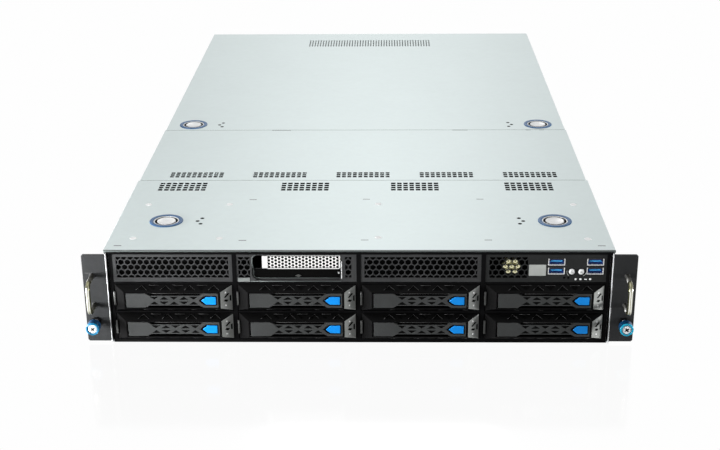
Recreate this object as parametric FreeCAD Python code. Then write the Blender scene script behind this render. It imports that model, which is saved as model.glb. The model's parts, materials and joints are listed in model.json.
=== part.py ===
import FreeCAD, Part
import math
import os

# Two-unit rack server: eight drive carriers in front, lift-off covers, fans, main board, power supplies.
# Millimetres. X to the right, Y to the back from the front plane, Z up from the underside.
# Every sub-part is moved at the end so that the origin lies under the middle of the whole server.

Vector = FreeCAD.Vector

# Rack and case
CASE_WIDTH = 440.0
CASE_HEIGHT = 88.0
CASE_DEPTH = 780.0
TRAY_SHEET = 1.2
TRAY_HEM = 0.8
COVER_SHEET = 1.0
COVER_LIP = 5.0
GAP = 0.3
PIN_CLEARANCE = 0.05

# Ears, handles and thumbscrews
EAR_WIDTH = 21.3
SCREW_INSET = 8.75
EAR_SHEET = 2.5
EAR_FLANGE = 1.6
EAR_FLANGE_DEPTH = 35.0
EAR_MARGIN = 2.2
EAR_TOP_MARGIN = 2.6
EAR_CORNER = 1.4
HANDLE_ROD = 4.2
HANDLE_REACH = 24.0
HANDLE_LOW = 38.0
HANDLE_HIGH = 66.0
HANDLE_BEND = 5.0
HANDLE_BEND_STEPS = 3
HANDLE_SIDES = 12
SCREW_HEIGHT = 21.8
STUD_RADIUS = 2.5
STUD_LENGTH = 9.0
STUD_NECK = 1.0
KNOB_RADIUS = 6.0
KNOB_LENGTH = 9.0
KNOB_STANDOFF = 8.0
COLLAR_RADIUS = 4.2
COLLAR_LENGTH = 1.2
KNOB_SIDES = 16
STUD_HOLE_SIDES = 12

# Drive cage
COLUMNS = 4
ROWS = 3
CARRIER_ROWS = 2
CAGE_SIDE_ROOM = 3.2
CAGE_SIDE_SHEET = 0.9
CAGE_FRONT = 0.5
CAGE_FRAME_DEPTH = 3.0
CAGE_DEPTH = 172.0
DIVIDER = 3.8
FRAME_RAIL = 3.2
ROW_BAR = 1.8
LEDGE_WIDTH = 6.0
LEDGE_SHEET = 1.0

# Drive carriers
BEZEL_RISE = 7.5
BEZEL_COLLAR = 6.0
BEZEL_SLOPE_LEFT = 9.2
BEZEL_SLOPE_RIGHT = 10.8
BEZEL_SLOPE_HIGH = 4.9
BEZEL_LIP = 0.8
BEZEL_FRONT_WALL = 1.2
BEZEL_SIDE_WALL = 1.8
BEZEL_TOP_WALL = 1.4
BEZEL_VENTS = 7
BEZEL_VENT_WIDTH = 10.0
CARRIER_BACK_GAP = 7.0
CARRIER_SHEET = 1.0
CARRIER_RAIL_HEIGHT = 19.0
CARRIER_RAIL_INSET = 0.2
CARRIER_TIE_HEIGHT = 6.0

# Carrier levers and latches
LEVER_THICK = 4.0
LEVER_END_GAP = 0.9
LEVER_NECK_HEIGHT = 9.4
LEVER_GRIP_LENGTH = 17.0
LEVER_TAPER = 3.5
LEVER_HEAD_LENGTH = 13.0
LEVER_WINDOW_PAIRS = 5
LEVER_WINDOW_WIDTH = 8.2
LEVER_STRUT = 0.9
PIVOT_INSET = 3.6
PIVOT_RADIUS = 1.2
PIVOT_SIDES = 10
LATCH_LENGTH = 13.0
LATCH_HEIGHT = 7.4
LATCH_TIP = 4.4
LATCH_PROUD = 0.5
LATCH_TRAVEL = 1.8
LATCH_END_GAP = 0.4
LATCH_FOOT = 1.0
LATCH_FOOT_MARGIN = 1.0
LATCH_HEAD_MARGIN = 1.6

# Honeycomb and front panels
PANEL_SHEET = 1.2
PANEL_RETURN = 12.0
CELL_PITCH = 5.56
CELL_FLATS = 4.7
CELL_MARGIN_SIDE = 3.2
CELL_MARGIN_TOP = 2.5
CELL_MARGIN_LOW = 3.9
CELL_SLIVER = 2.5
SLOT_CELL_MARGIN = 1.5
SLOT_LEFT = 13.4
SLOT_RIGHT = 13.1
SLOT_LOW = 1.4
SLOT_TOP = 0.8
SLOT_DEPTH = 60.0
SLOT_CORNER = 4.0
SLOT_SHELF_HEIGHT = 10.6
SLOT_SHELF_SETBACK = 2.0
BLANK_LEFT = 9.0
BLANK_RIGHT = 1.1
BLANK_SHEET = 1.0
BLANK_RETURN = 8.0
BLANK_SETBACK = 1.2
BLANK_TOP = 0.6

# Control panel
USB_WIDTH = 14.6
USB_HEIGHT = 6.3
USB_WALL = 0.7
USB_DEPTH = 14.0
USB_PROUD = 0.3
USB_FROM_TOP = 3.8
USB_PITCH = 8.5
USB_INNER_FROM_RIGHT = 43.3
USB_OUTER_FROM_RIGHT = 9.8
TONGUE_WIDTH = 11.2
TONGUE_THICK = 1.9
TONGUE_SETBACK = 1.2
TONGUE_DROP = 0.7
BUTTON_RADIUS = 2.4
BUTTON_PROUD = 1.2
BUTTON_FOOT = 6.4
BUTTON_FOOT_THICK = 1.0
BUTTON_HEIGHT = 9.8
POWER_FROM_RIGHT = 29.9
LOCATE_FROM_RIGHT = 21.7
CONTROL_CELLS_WIDTH = 33.5

# Covers and their latches
FRONT_COVER_START = 1.0
FRONT_OVERHANG = 2.2
FRONT_HEM = 2.0
MIDDLE_OVERHANG = 0.8
FRONT_COVER_END = 178.7
MIDDLE_COVER_END = 340.2
SEAM = 0.6
RING_RADIUS = 15.5
RING_HOLE = 12.2
RING_THICK = 0.8
LATCH_BORE = 10.7
PUSH_RADIUS = 9.9
PUSH_PROUD = 0.6
PUSH_FOOT = 23.0
PUSH_FOOT_THICK = 1.2
ROUND_SIDES = 16
FRONT_LATCH_INSET = 42.5
FRONT_LATCH_Y = 70.0
REAR_LATCH_INSET = 28.0
REAR_LATCH_Y = 360.0
FRONT_VENT_SHIFTS = (-12.9, -1.3, -2.5, 0.1)
FRONT_VENT_WIDTH = 46.2
FRONT_VENT_START = 150.0
FRONT_VENT_ROWS = 4
FRONT_VENT_PITCH = 5.9
FRONT_VENT_SLOT = 4.3
MIDDLE_VENT_GROUPS = 5
MIDDLE_VENT_INSET = 26.4
MIDDLE_VENT_WIDTH = 54.0
MIDDLE_VENT_START = 187.5
MIDDLE_VENT_ROWS = 3
MIDDLE_VENT_PITCH = 5.4
MIDDLE_VENT_SLOT = 4.0
REAR_VENT_WIDTH = 164.0
REAR_VENT_FROM_BACK = 70.0
REAR_VENT_ROWS = 3
REAR_VENT_PITCH = 12.2
REAR_VENT_SLOT = 10.0

# Inside
BACKPLANE_GAP = 3.0
BOARD_SHEET = 1.6
SOCKET_WIDTH = 40.0
SOCKET_HEIGHT = 8.0
SOCKET_DEPTH = 8.0
BACKPLANE_MARGIN = 3.0
FANS = 4
FAN_Y = 205.0
FAN_DEPTH = 38.0
FAN_CLEARANCE = 3.4
FAN_BORE_MARGIN = 2.0
FAN_BORE_SIDES = 12
FAN_SIDE_ROOM = 20.0
FAN_BAR = 12.0
FAN_BAR_THICK = 3.0
FAN_AXLE_RADIUS = 2.0
FAN_AXLE_SIDES = 10
FAN_HUB_RADIUS = 15.0
FAN_HUB_SIDES = 12
FAN_HUB_LENGTH = 26.0
FAN_BLADES = 5
FAN_BLADE_THICK = 1.6
FAN_BLADE_PITCH = 35.0
FAN_TIP_GAP = 1.5
BOARD_START = 365.0
BOARD_STANDOFF = 6.0
STANDOFF_WIDTH = 7.0
BOARD_SIDE_GAP = 16.0
PROCESSOR_SIZE = 70.0
PROCESSOR_HEIGHT = 7.0
PROCESSOR_Y = 440.0
HEATSINK_HEIGHT = 52.0
HEATSINK_BASE = 5.0
HEATSINK_FINS = 7
FIN_SHEET = 1.6
MEMORY_LENGTH = 133.0
MEMORY_PER_BANK = 4
MEMORY_EDGE = 3.0
MEMORY_SLOT_WIDTH = 6.4
MEMORY_SLOT_HEIGHT = 8.0
MEMORY_HEIGHT = 26.0
MEMORY_SHEET = 1.4
MEMORY_GAP = 5.0

# Rear panel, ports, expansion slots and power supplies
PSU_GAP = 0.6
PSU_WIDTH = 73.5
PSU_DEPTH = 190.0
PSU_SIDE_GAP = 3.0
PSU_HANDLE_REACH = 26.0
PSU_HANDLE_WIDTH = 30.0
PSU_HANDLE_BAR = 4.0
PSU_HANDLE_HEIGHT = 12.0
PSU_HANDLE_SIDE = 4.0
INLET_WIDTH = 25.0
INLET_HEIGHT = 17.0
INLET_DEPTH = 18.0
INLET_CORNER = 4.0
INLET_SIDE = 4.0
PSU_VENTS = 4
PSU_VENT_HEIGHT = 3.0
PSU_VENT_DEPTH = 2.0
EXPANSION_SLOTS = 5
EXPANSION_PITCH = 20.3
EXPANSION_MARGIN = 8.0
EXPANSION_OPENING = 14.0
EXPANSION_COVER = 18.4
EXPANSION_LOW = 8.0
EXPANSION_TOP = 8.0
EXPANSION_SHEET = 1.0
PORT_DEPTH = 18.0
PORT_GAP = 6.0
PORT_WALL = 1.2
PORT_SIZES = ((14.5, 16.0), (16.0, 13.5), (16.0, 13.5), (16.0, 13.5), (31.0, 12.5))
PORT_START_GAP = 6.0
REAR_VENTS = 10
REAR_VENT_BAR = 4.0
REAR_VENT_LOW = 40.0
REAR_VENT_HIGH = 74.0

# Sizes worked out from the ones above
HALF_CASE = CASE_WIDTH / 2
RACK_WIDTH = CASE_WIDTH + 2 * EAR_WIDTH
SCREW_PITCH = RACK_WIDTH - 2 * SCREW_INSET
REAR_FACE = CASE_DEPTH - TRAY_SHEET
OVERALL_DEPTH = EAR_SHEET + HANDLE_REACH + CASE_DEPTH + PSU_HANDLE_REACH
FRONT_Y = EAR_SHEET + HANDLE_REACH - OVERALL_DEPTH / 2
COVER_UNDER = CASE_HEIGHT - COVER_SHEET
WALL_TOP = COVER_UNDER - GAP
BAY_PITCH = (CASE_WIDTH - 2 * CAGE_SIDE_ROOM) / COLUMNS
BAY_WIDTH = BAY_PITCH - DIVIDER
BAY_HEIGHT = (CASE_HEIGHT - 2 * FRAME_RAIL - (ROWS - 1) * ROW_BAR) / ROWS
ROW_PITCH = BAY_HEIGHT + ROW_BAR
FRAME_TOP = CASE_HEIGHT - FRAME_RAIL
BEZEL_WIDTH = BAY_WIDTH - 2 * GAP
BEZEL_HEIGHT = BAY_HEIGHT - 2 * GAP
LEVER_LEFT = BEZEL_SLOPE_LEFT + BEZEL_LIP + LEVER_END_GAP
LEVER_RIGHT = BEZEL_WIDTH - BEZEL_SLOPE_RIGHT - BEZEL_LIP - 2 * GAP
LEVER_HALF = BEZEL_HEIGHT / 2 - BEZEL_SLOPE_HIGH - BEZEL_LIP - GAP
PIVOT_X = LEVER_LEFT + PIVOT_INSET
PIVOT_Y = LEVER_THICK / 2 - BEZEL_RISE
LEVER_BACK = LEVER_THICK - BEZEL_RISE
FRONT_LATCH_X = HALF_CASE - FRONT_LATCH_INSET
REAR_LATCH_X = HALF_CASE - REAR_LATCH_INSET
MIDDLE_VENT_STEP = (CASE_WIDTH - 2 * MIDDLE_VENT_INSET - MIDDLE_VENT_WIDTH) / (MIDDLE_VENT_GROUPS - 1)
LATCH_RIGHT = LEVER_RIGHT - LATCH_HEAD_MARGIN - LATCH_END_GAP
FAN_SIZE = CASE_HEIGHT - COVER_SHEET - TRAY_SHEET - 2 * FAN_CLEARANCE
FAN_HEIGHT = TRAY_SHEET + FAN_SIZE / 2
FAN_BORE = FAN_SIZE / 2 - FAN_BORE_MARGIN
BACKPLANE_Y = CAGE_DEPTH + BACKPLANE_GAP
CARRIER_DEPTH = CAGE_DEPTH - CARRIER_BACK_GAP
FAN_PITCH = (CASE_WIDTH - 2 * FAN_SIDE_ROOM) / FANS
PSU_HEIGHT = (COVER_UNDER - COVER_LIP - TRAY_SHEET - 3 * PSU_GAP) / 2
PSU_RIGHT = HALF_CASE - TRAY_SHEET - PSU_SIDE_GAP
PSU_LEFT = PSU_RIGHT - PSU_WIDTH
BOARD_LOW = TRAY_SHEET + BOARD_STANDOFF
BOARD_TOP = BOARD_LOW + BOARD_SHEET
BOARD_LEFT = -HALF_CASE + TRAY_SHEET + BOARD_SIDE_GAP
BOARD_RIGHT = PSU_LEFT - BOARD_SIDE_GAP
BOARD_QUARTER = (BOARD_RIGHT - BOARD_LEFT) / 4
MEMORY_PITCH = (BOARD_QUARTER - PROCESSOR_SIZE / 2 - MEMORY_GAP - MEMORY_EDGE) / MEMORY_PER_BANK
EXPANSION_END = -HALF_CASE + EXPANSION_MARGIN + EXPANSION_SLOTS * EXPANSION_PITCH
PORT_START = EXPANSION_END + PORT_START_GAP


def box(x0, x1, y0, y1, z0, z1):
    """A block between two opposite corners."""
    return Part.makeBox(x1 - x0, y1 - y0, z1 - z0, Vector(x0, y0, z0))


def prism(points, push):
    """A flat polygon pushed along a vector."""
    return Part.Face(Part.makePolygon(points + points[:1])).extrude(push)


def ring_points(radius, sides, place):
    """The corners of a regular polygon, each put in space by place(across, up)."""
    turns = [2 * math.pi * (side + 0.5) / sides for side in range(sides)]
    return [place(radius * math.cos(turn), radius * math.sin(turn)) for turn in turns]


def upright_disc(radius, sides, x, y, low, high):
    """A round piece with a vertical axis, drawn with flats."""
    points = ring_points(radius, sides, lambda across, up: Vector(x + across, y + up, low))
    return prism(points, Vector(0, 0, high - low))


def lying_disc(radius, sides, x, z, front, back):
    """A round piece with its axis along Y, drawn with flats."""
    points = ring_points(radius, sides, lambda across, up: Vector(x + across, front, z + up))
    return prism(points, Vector(0, back - front, 0))


def round_hole(radius, sides):
    """The corner radius that lets a faceted hole clear a faceted pin of the given corner radius."""
    return (radius + PIN_CLEARANCE) / math.cos(math.pi / sides)


def rod_along_y(radius, x, z, front, back):
    """A true cylinder with its axis along Y."""
    return Part.makeCylinder(radius, back - front, Vector(x, front, z), Vector(0, 1, 0))


def front_sheet(outline, holes, front, thick):
    """An upright sheet: an outline of (x, z) points with holes, pushed back from its front face."""
    wires = []
    for loop in [outline] + holes:
        points = [Vector(x, front, z) for x, z in loop]
        wires.append(Part.makePolygon(points + points[:1]))
    return Part.makeFace(wires, "Part::FaceMakerBullseye").extrude(Vector(0, thick, 0))


def rectangle(x0, x1, z0, z1):
    """The four (x, z) corners of a rectangle."""
    return [(x0, z0), (x1, z0), (x1, z1), (x0, z1)]


def clip(loop, axis, limit, keep_above):
    """The part of a polygon on one side of a straight line square to an axis."""
    kept = []
    for here, there in zip(loop, loop[1:] + loop[:1]):
        here_in = (here[axis] > limit) == keep_above
        there_in = (there[axis] > limit) == keep_above
        if here_in:
            kept.append(here)
        if here_in != there_in:
            share = (limit - here[axis]) / (there[axis] - here[axis])
            kept.append(tuple(h + share * (t - h) for h, t in zip(here, there)))
    return kept


def loop_area(loop):
    """The area inside a polygon of (x, z) points."""
    pairs = zip(loop, loop[1:] + loop[:1])
    return abs(sum(a[0] * b[1] - b[0] * a[1] for a, b in pairs)) / 2


def honeycomb(x0, x1, z0, z1):
    """Hexagonal holes, points up, that fill a window and are cut off by its border."""
    corner = CELL_FLATS / math.sqrt(3)
    row_step = CELL_PITCH * math.sqrt(3) / 2
    middle_x = (x0 + x1) / 2
    middle_z = (z0 + z1) / 2
    rows = int((z1 - z0) / row_step / 2) + 1
    columns = int((x1 - x0) / CELL_PITCH / 2) + 2
    holes = []
    for row in range(-rows, rows + 1):
        shift = 0.5 if row % 2 == 0 else 0.0
        for column in range(-columns, columns + 1):
            centre_x = middle_x + (column + shift) * CELL_PITCH
            centre_z = middle_z + row * row_step
            turns = [math.pi / 6 + side * math.pi / 3 for side in range(6)]
            loop = [(centre_x + corner * math.cos(t), centre_z + corner * math.sin(t)) for t in turns]
            for axis, limit, above in ((0, x0, True), (0, x1, False), (1, z0, True), (1, z1, False)):
                loop = clip(loop, axis, limit, above)
            if len(loop) > 2 and loop_area(loop) > CELL_SLIVER:
                holes.append(loop)
    return holes


def column_x(column):
    """The middle of a bay column."""
    return (column - (COLUMNS - 1) / 2) * BAY_PITCH


def row_z(row):
    """The lower edge of a bay row's opening."""
    return FRAME_RAIL + row * ROW_PITCH


def save(name, pieces):
    """Write one sub-part, moved so that the origin lies under the middle of the server."""
    shape = pieces[0] if len(pieces) == 1 else Part.makeCompound(pieces)
    placed = shape.copy()
    placed.translate(Vector(0, FRONT_Y, 0))
    placed.exportStep("parts/" + name + ".step")


# Case

def chassis_tray():
    """Folded floor and side walls with hemmed front edges, notched for the cage's top rail."""
    inner = HALF_CASE - TRAY_SHEET
    outline = [
        (-HALF_CASE, 0), (HALF_CASE, 0), (HALF_CASE, WALL_TOP), (inner, WALL_TOP), (inner, TRAY_SHEET),
        (-inner, TRAY_SHEET), (-inner, WALL_TOP), (-HALF_CASE, WALL_TOP),
    ]
    tray = front_sheet(outline, [], 0, REAR_FACE)
    for near, far in ((-inner, TRAY_HEM - inner), (inner - TRAY_HEM, inner)):
        tray = tray.fuse(box(near, far, 0, CAGE_FRAME_DEPTH, TRAY_SHEET, FRAME_TOP))
    tray = tray.removeSplitter()
    tray = tray.cut(box(-HALF_CASE, HALF_CASE, 0, CAGE_FRAME_DEPTH, FRAME_TOP, CASE_HEIGHT))
    return [tray]


def front_cage():
    """Front frame bars, dividers, side plates and the ledges that the carriers run on."""
    front = -CAGE_FRONT
    inner = HALF_CASE - TRAY_SHEET - TRAY_HEM
    side = HALF_CASE - CAGE_SIDE_ROOM - DIVIDER / 2
    frame_back = CAGE_FRAME_DEPTH
    pieces = [
        box(-HALF_CASE, HALF_CASE, front, frame_back, FRAME_TOP, WALL_TOP),
        box(-inner, inner, front, frame_back, TRAY_SHEET, FRAME_RAIL),
        box(-inner, -side, front, frame_back, FRAME_RAIL, FRAME_TOP),
        box(side, inner, front, frame_back, FRAME_RAIL, FRAME_TOP),
        box(-side - CAGE_SIDE_SHEET, -side, frame_back, CAGE_DEPTH, TRAY_SHEET, FRAME_TOP),
        box(side, side + CAGE_SIDE_SHEET, frame_back, CAGE_DEPTH, TRAY_SHEET, FRAME_TOP),
    ]
    for column in range(COLUMNS - 1):
        middle = column_x(column) + BAY_PITCH / 2
        low, high = middle - DIVIDER / 2, middle + DIVIDER / 2
        pieces.append(box(low, high, front, frame_back, FRAME_RAIL, FRAME_TOP))
        pieces.append(box(low, high, frame_back, CAGE_DEPTH, TRAY_SHEET, FRAME_TOP))
    for column in range(COLUMNS):
        left = column_x(column) - BAY_WIDTH / 2
        right = left + BAY_WIDTH
        for row in range(1, ROWS):
            pieces.append(box(left, right, front, frame_back, row_z(row) - ROW_BAR, row_z(row)))
        for row in range(CARRIER_ROWS):
            top = row_z(row)
            low = TRAY_SHEET if row == 0 else top - LEDGE_SHEET
            pieces.append(box(left, left + LEDGE_WIDTH, frame_back, CAGE_DEPTH, low, top))
            pieces.append(box(right - LEDGE_WIDTH, right, frame_back, CAGE_DEPTH, low, top))
    return pieces


def rack_ears():
    """Ear plates with a flange bent back along the case side and a hole for the rack screw."""
    pieces = []
    low, high = EAR_MARGIN, CASE_HEIGHT - EAR_TOP_MARGIN
    hole_radius = round_hole(STUD_RADIUS, STUD_HOLE_SIDES)
    for side in (-1, 1):
        inner, outer = side * HALF_CASE, side * RACK_WIDTH / 2
        trimmed = outer - side * EAR_CORNER
        outline = [(inner, low), (trimmed, low), (outer, low + EAR_CORNER), (outer, high - EAR_CORNER),
                   (trimmed, high), (inner, high)]
        screw_x = side * SCREW_PITCH / 2
        hole = ring_points(hole_radius, STUD_HOLE_SIDES, lambda across, up: (screw_x + across, SCREW_HEIGHT + up))
        plate = front_sheet(outline, [hole], -EAR_SHEET, EAR_SHEET)
        near, far = sorted((inner, inner + side * EAR_FLANGE))
        flange = box(near, far, -EAR_SHEET, EAR_FLANGE_DEPTH, low, high)
        pieces.append(plate.fuse(flange).removeSplitter())
    return pieces


def handle_path():
    """Points along a handle in (y, z): leg, stepped bend, grip, stepped bend, leg."""
    grip_y = -EAR_SHEET - HANDLE_REACH + HANDLE_ROD / 2
    centre_y = grip_y + HANDLE_BEND
    points = [(-EAR_SHEET, HANDLE_LOW)]
    for centre_z, first in ((HANDLE_LOW + HANDLE_BEND, -90), (HANDLE_HIGH - HANDLE_BEND, -180)):
        for step in range(HANDLE_BEND_STEPS + 1):
            turn = math.radians(first - 90 * step / HANDLE_BEND_STEPS)
            points.append((centre_y + HANDLE_BEND * math.cos(turn), centre_z + HANDLE_BEND * math.sin(turn)))
    points.append((-EAR_SHEET, HANDLE_HIGH))
    return points


def rack_handles():
    """Bent rods that stand on the ears, lofted through sections set square to the bends."""
    points = handle_path()
    lines = [(b[0] - a[0], b[1] - a[1]) for a, b in zip(points, points[1:])]
    headings = [math.atan2(dz, dy) for dy, dz in lines]
    headings = [headings[0]] + headings + [headings[-1]]
    pieces = []
    for side in (-1, 1):
        x = side * SCREW_PITCH / 2
        sections = []
        for (y, z), before, after in zip(points, headings, headings[1:]):
            bend = math.remainder(after - before, 2 * math.pi)
            across = before + bend / 2 + math.pi / 2
            stretch = 1 / math.cos(bend / 2)
            corners = ring_points(HANDLE_ROD / 2, HANDLE_SIDES, lambda out, up: Vector(
                x + out, y + up * stretch * math.cos(across), z + up * stretch * math.sin(across)))
            sections.append(Part.makePolygon(corners + corners[:1]))
        pieces.append(Part.makeLoft(sections, True, True))
    return pieces


def thumbscrew(side):
    """A knob with flats to grip, standing off on a shank with a collar, and a stud through the ear."""
    x = side * SCREW_PITCH / 2
    collar_back = -EAR_SHEET - GAP
    knob_back = collar_back - KNOB_STANDOFF
    knob = lying_disc(KNOB_RADIUS, KNOB_SIDES, x, SCREW_HEIGHT, knob_back - KNOB_LENGTH, knob_back)
    collar = lying_disc(COLLAR_RADIUS, STUD_HOLE_SIDES, x, SCREW_HEIGHT, collar_back - COLLAR_LENGTH, collar_back)
    shank = lying_disc(STUD_RADIUS, STUD_HOLE_SIDES, x, SCREW_HEIGHT, knob_back, STUD_NECK)
    stud = rod_along_y(STUD_RADIUS, x, SCREW_HEIGHT, STUD_NECK, STUD_LENGTH)
    return [knob.multiFuse([shank, collar, stud])]


# Covers

def slot_row(centre_x, width, start, rows, pitch, slot):
    """Cutting blocks for rows of vent slots through a cover."""
    left, right = centre_x - width / 2, centre_x + width / 2
    fronts = [start + row * pitch for row in range(rows)]
    return [box(left, right, front, front + slot, COVER_UNDER, CASE_HEIGHT) for front in fronts]


def cover(front, back, cutters, overhang=0, hem=0):
    """A folded lid: a top sheet with two lips that hang inside the case walls, clear of the front frame
    and the rear panel. It may reach past the walls, with a hem bent down along its edges."""
    reach = HALF_CASE + overhang
    lid = box(-reach, reach, front, back, COVER_UNDER, CASE_HEIGHT)
    lip_out = HALF_CASE - TRAY_SHEET - GAP
    lip_in = lip_out - COVER_SHEET
    lip_low = COVER_UNDER - COVER_LIP
    lip_front = max(front, CAGE_FRAME_DEPTH + GAP)
    lip_back = min(back, REAR_FACE - GAP)
    left_lip = box(-lip_out, -lip_in, lip_front, lip_back, lip_low, COVER_UNDER)
    right_lip = box(lip_in, lip_out, lip_front, lip_back, lip_low, COVER_UNDER)
    folds = [left_lip, right_lip]
    if hem:
        folds.append(box(-reach, COVER_SHEET - reach, front, back, CASE_HEIGHT - hem, COVER_UNDER))
        folds.append(box(reach - COVER_SHEET, reach, front, back, CASE_HEIGHT - hem, COVER_UNDER))
    lid = lid.multiFuse(folds).removeSplitter()
    return [lid.cut(Part.makeCompound(cutters))]


def latch_bores(x, y):
    """Cutting discs for the pair of latch buttons in a cover."""
    places = (-x, x)
    return [upright_disc(LATCH_BORE, ROUND_SIDES, place, y, COVER_UNDER, CASE_HEIGHT) for place in places]


def front_cover():
    cutters = latch_bores(FRONT_LATCH_X, FRONT_LATCH_Y)
    for column, shift in enumerate(FRONT_VENT_SHIFTS):
        cutters += slot_row(column_x(column) + shift, FRONT_VENT_WIDTH, FRONT_VENT_START, FRONT_VENT_ROWS,
                            FRONT_VENT_PITCH, FRONT_VENT_SLOT)
    return cover(FRONT_COVER_START, FRONT_COVER_END, cutters, FRONT_OVERHANG, FRONT_HEM)


def middle_cover():
    cutters = []
    for group in range(MIDDLE_VENT_GROUPS):
        centre = (group - (MIDDLE_VENT_GROUPS - 1) / 2) * MIDDLE_VENT_STEP
        cutters += slot_row(centre, MIDDLE_VENT_WIDTH, MIDDLE_VENT_START, MIDDLE_VENT_ROWS,
                            MIDDLE_VENT_PITCH, MIDDLE_VENT_SLOT)
    return cover(FRONT_COVER_END + SEAM, MIDDLE_COVER_END, cutters, MIDDLE_OVERHANG)


def rear_cover():
    cutters = latch_bores(REAR_LATCH_X, REAR_LATCH_Y)
    vent_start = CASE_DEPTH - REAR_VENT_FROM_BACK
    cutters += slot_row(0, REAR_VENT_WIDTH, vent_start, REAR_VENT_ROWS, REAR_VENT_PITCH, REAR_VENT_SLOT)
    return cover(MIDDLE_COVER_END + SEAM, CASE_DEPTH, cutters)


def latch_rings(x, y):
    """Flat rings fixed on a cover round its latch buttons."""
    pieces = []
    for place in (-x, x):
        disc = upright_disc(RING_RADIUS, ROUND_SIDES, place, y, CASE_HEIGHT, CASE_HEIGHT + RING_THICK)
        hole = upright_disc(RING_HOLE, ROUND_SIDES, place, y, CASE_HEIGHT, CASE_HEIGHT + RING_THICK)
        pieces.append(disc.cut(hole))
    return pieces


def latch_button(x, y):
    """A push button with a square foot that keeps it under the cover."""
    foot_top = COVER_UNDER - GAP
    foot_low = foot_top - PUSH_FOOT_THICK
    head = upright_disc(PUSH_RADIUS, ROUND_SIDES, x, y, foot_top, CASE_HEIGHT + PUSH_PROUD)
    half = PUSH_FOOT / 2
    return [head.fuse(box(x - half, x + half, y - half, y + half, foot_low, foot_top))]


# Front panels

def panel_pan(column, holes):
    """A front panel in the top row: a sheet with holes and a rim bent back all round."""
    left = column_x(column) - BAY_WIDTH / 2
    right = left + BAY_WIDTH
    low, high = row_z(ROWS - 1), FRAME_TOP
    sheet = front_sheet(rectangle(left, right, low, high), holes, 0, PANEL_SHEET)
    inside = rectangle(left + PANEL_SHEET, right - PANEL_SHEET, low + PANEL_SHEET, high - PANEL_SHEET)
    rim = front_sheet(rectangle(left, right, low, high), [inside], PANEL_SHEET, PANEL_RETURN)
    return sheet.fuse(rim).removeSplitter()


def cell_window(column):
    """The space for honeycomb in a top-row panel as left, right, low and high."""
    left = column_x(column) - BAY_WIDTH / 2
    low = row_z(ROWS - 1) + CELL_MARGIN_LOW
    return left + CELL_MARGIN_SIDE, left + BAY_WIDTH - CELL_MARGIN_SIDE, low, FRAME_TOP - CELL_MARGIN_TOP


def honeycomb_grilles():
    """The two plain honeycomb panels, in the first and third columns."""
    return [panel_pan(column, honeycomb(*cell_window(column))) for column in (0, 2)]


def slot_space():
    """The slot in the second panel as left, right, low and high."""
    left, right = column_x(1) - BAY_WIDTH / 2, column_x(1) + BAY_WIDTH / 2
    return left + SLOT_LEFT, right - SLOT_RIGHT, row_z(ROWS - 1) + SLOT_LOW, FRAME_TOP - SLOT_TOP


def slot_panel():
    """A panel with honeycomb beside an open slot, the slot's housing and its recessed lower front."""
    left, right, low, high = slot_space()
    cells_low, cells_high = cell_window(1)[2:]
    panel_left = left - SLOT_LEFT
    opening = [(left + SLOT_CORNER, low), (right, low), (right, high), (left + SLOT_CORNER, high),
               (left, high - SLOT_CORNER), (left, low + SLOT_CORNER)]
    holes = [opening]
    holes += honeycomb(panel_left + SLOT_CELL_MARGIN, left - SLOT_CELL_MARGIN, cells_low, cells_high)
    holes += honeycomb(right + CELL_MARGIN_SIDE, right + CELL_MARGIN_SIDE + CELL_PITCH, cells_low, cells_high)
    panel = panel_pan(1, holes)
    housing_low = low - PANEL_SHEET + GAP
    outside = rectangle(left - PANEL_SHEET, right + PANEL_SHEET, housing_low, high)
    inside = rectangle(left, right, low + GAP, high - PANEL_SHEET + SLOT_TOP)
    housing = front_sheet(outside, [inside], PANEL_SHEET, SLOT_DEPTH)
    shelf = box(left, right, SLOT_SHELF_SETBACK, SLOT_SHELF_SETBACK + PANEL_SHEET,
                low + GAP, low + SLOT_SHELF_HEIGHT)
    return [panel.multiFuse([housing, shelf]).removeSplitter()]


def slot_blank():
    """A bright blank plate above the slot's lower front, with a side bent back into the slot."""
    left, right, low, high = slot_space()
    plate_left, plate_right = left + BLANK_LEFT, right - BLANK_RIGHT
    plate_low, plate_high = low + SLOT_SHELF_HEIGHT, high - BLANK_TOP
    back = BLANK_SETBACK + BLANK_SHEET
    plate = box(plate_left, plate_right, BLANK_SETBACK, back, plate_low, plate_high)
    lower = box(plate_left, plate_right, back, BLANK_RETURN, plate_low, plate_low + BLANK_SHEET)
    side = box(plate_left, plate_left + BLANK_SHEET, back, BLANK_RETURN, plate_low, plate_high)
    return [plate.multiFuse([lower, side]).removeSplitter()]


def panel_right():
    """The right edge of the control panel."""
    return column_x(COLUMNS - 1) + BAY_WIDTH / 2


def usb_places():
    """The middle of each USB socket as x and z."""
    upper_z = FRAME_TOP - USB_FROM_TOP - USB_HEIGHT / 2
    columns = (panel_right() - USB_INNER_FROM_RIGHT, panel_right() - USB_OUTER_FROM_RIGHT)
    return [(x, z) for x in columns for z in (upper_z - USB_PITCH, upper_z)]


def button_places():
    """The middle of the power button and of the locate button as x and z."""
    z = row_z(ROWS - 1) + BUTTON_HEIGHT
    return [(panel_right() - POWER_FROM_RIGHT, z), (panel_right() - LOCATE_FROM_RIGHT, z)]


def socket_outline(x, z, width, height):
    """A rectangle round a middle point."""
    return rectangle(x - width / 2, x + width / 2, z - height / 2, z + height / 2)


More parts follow.
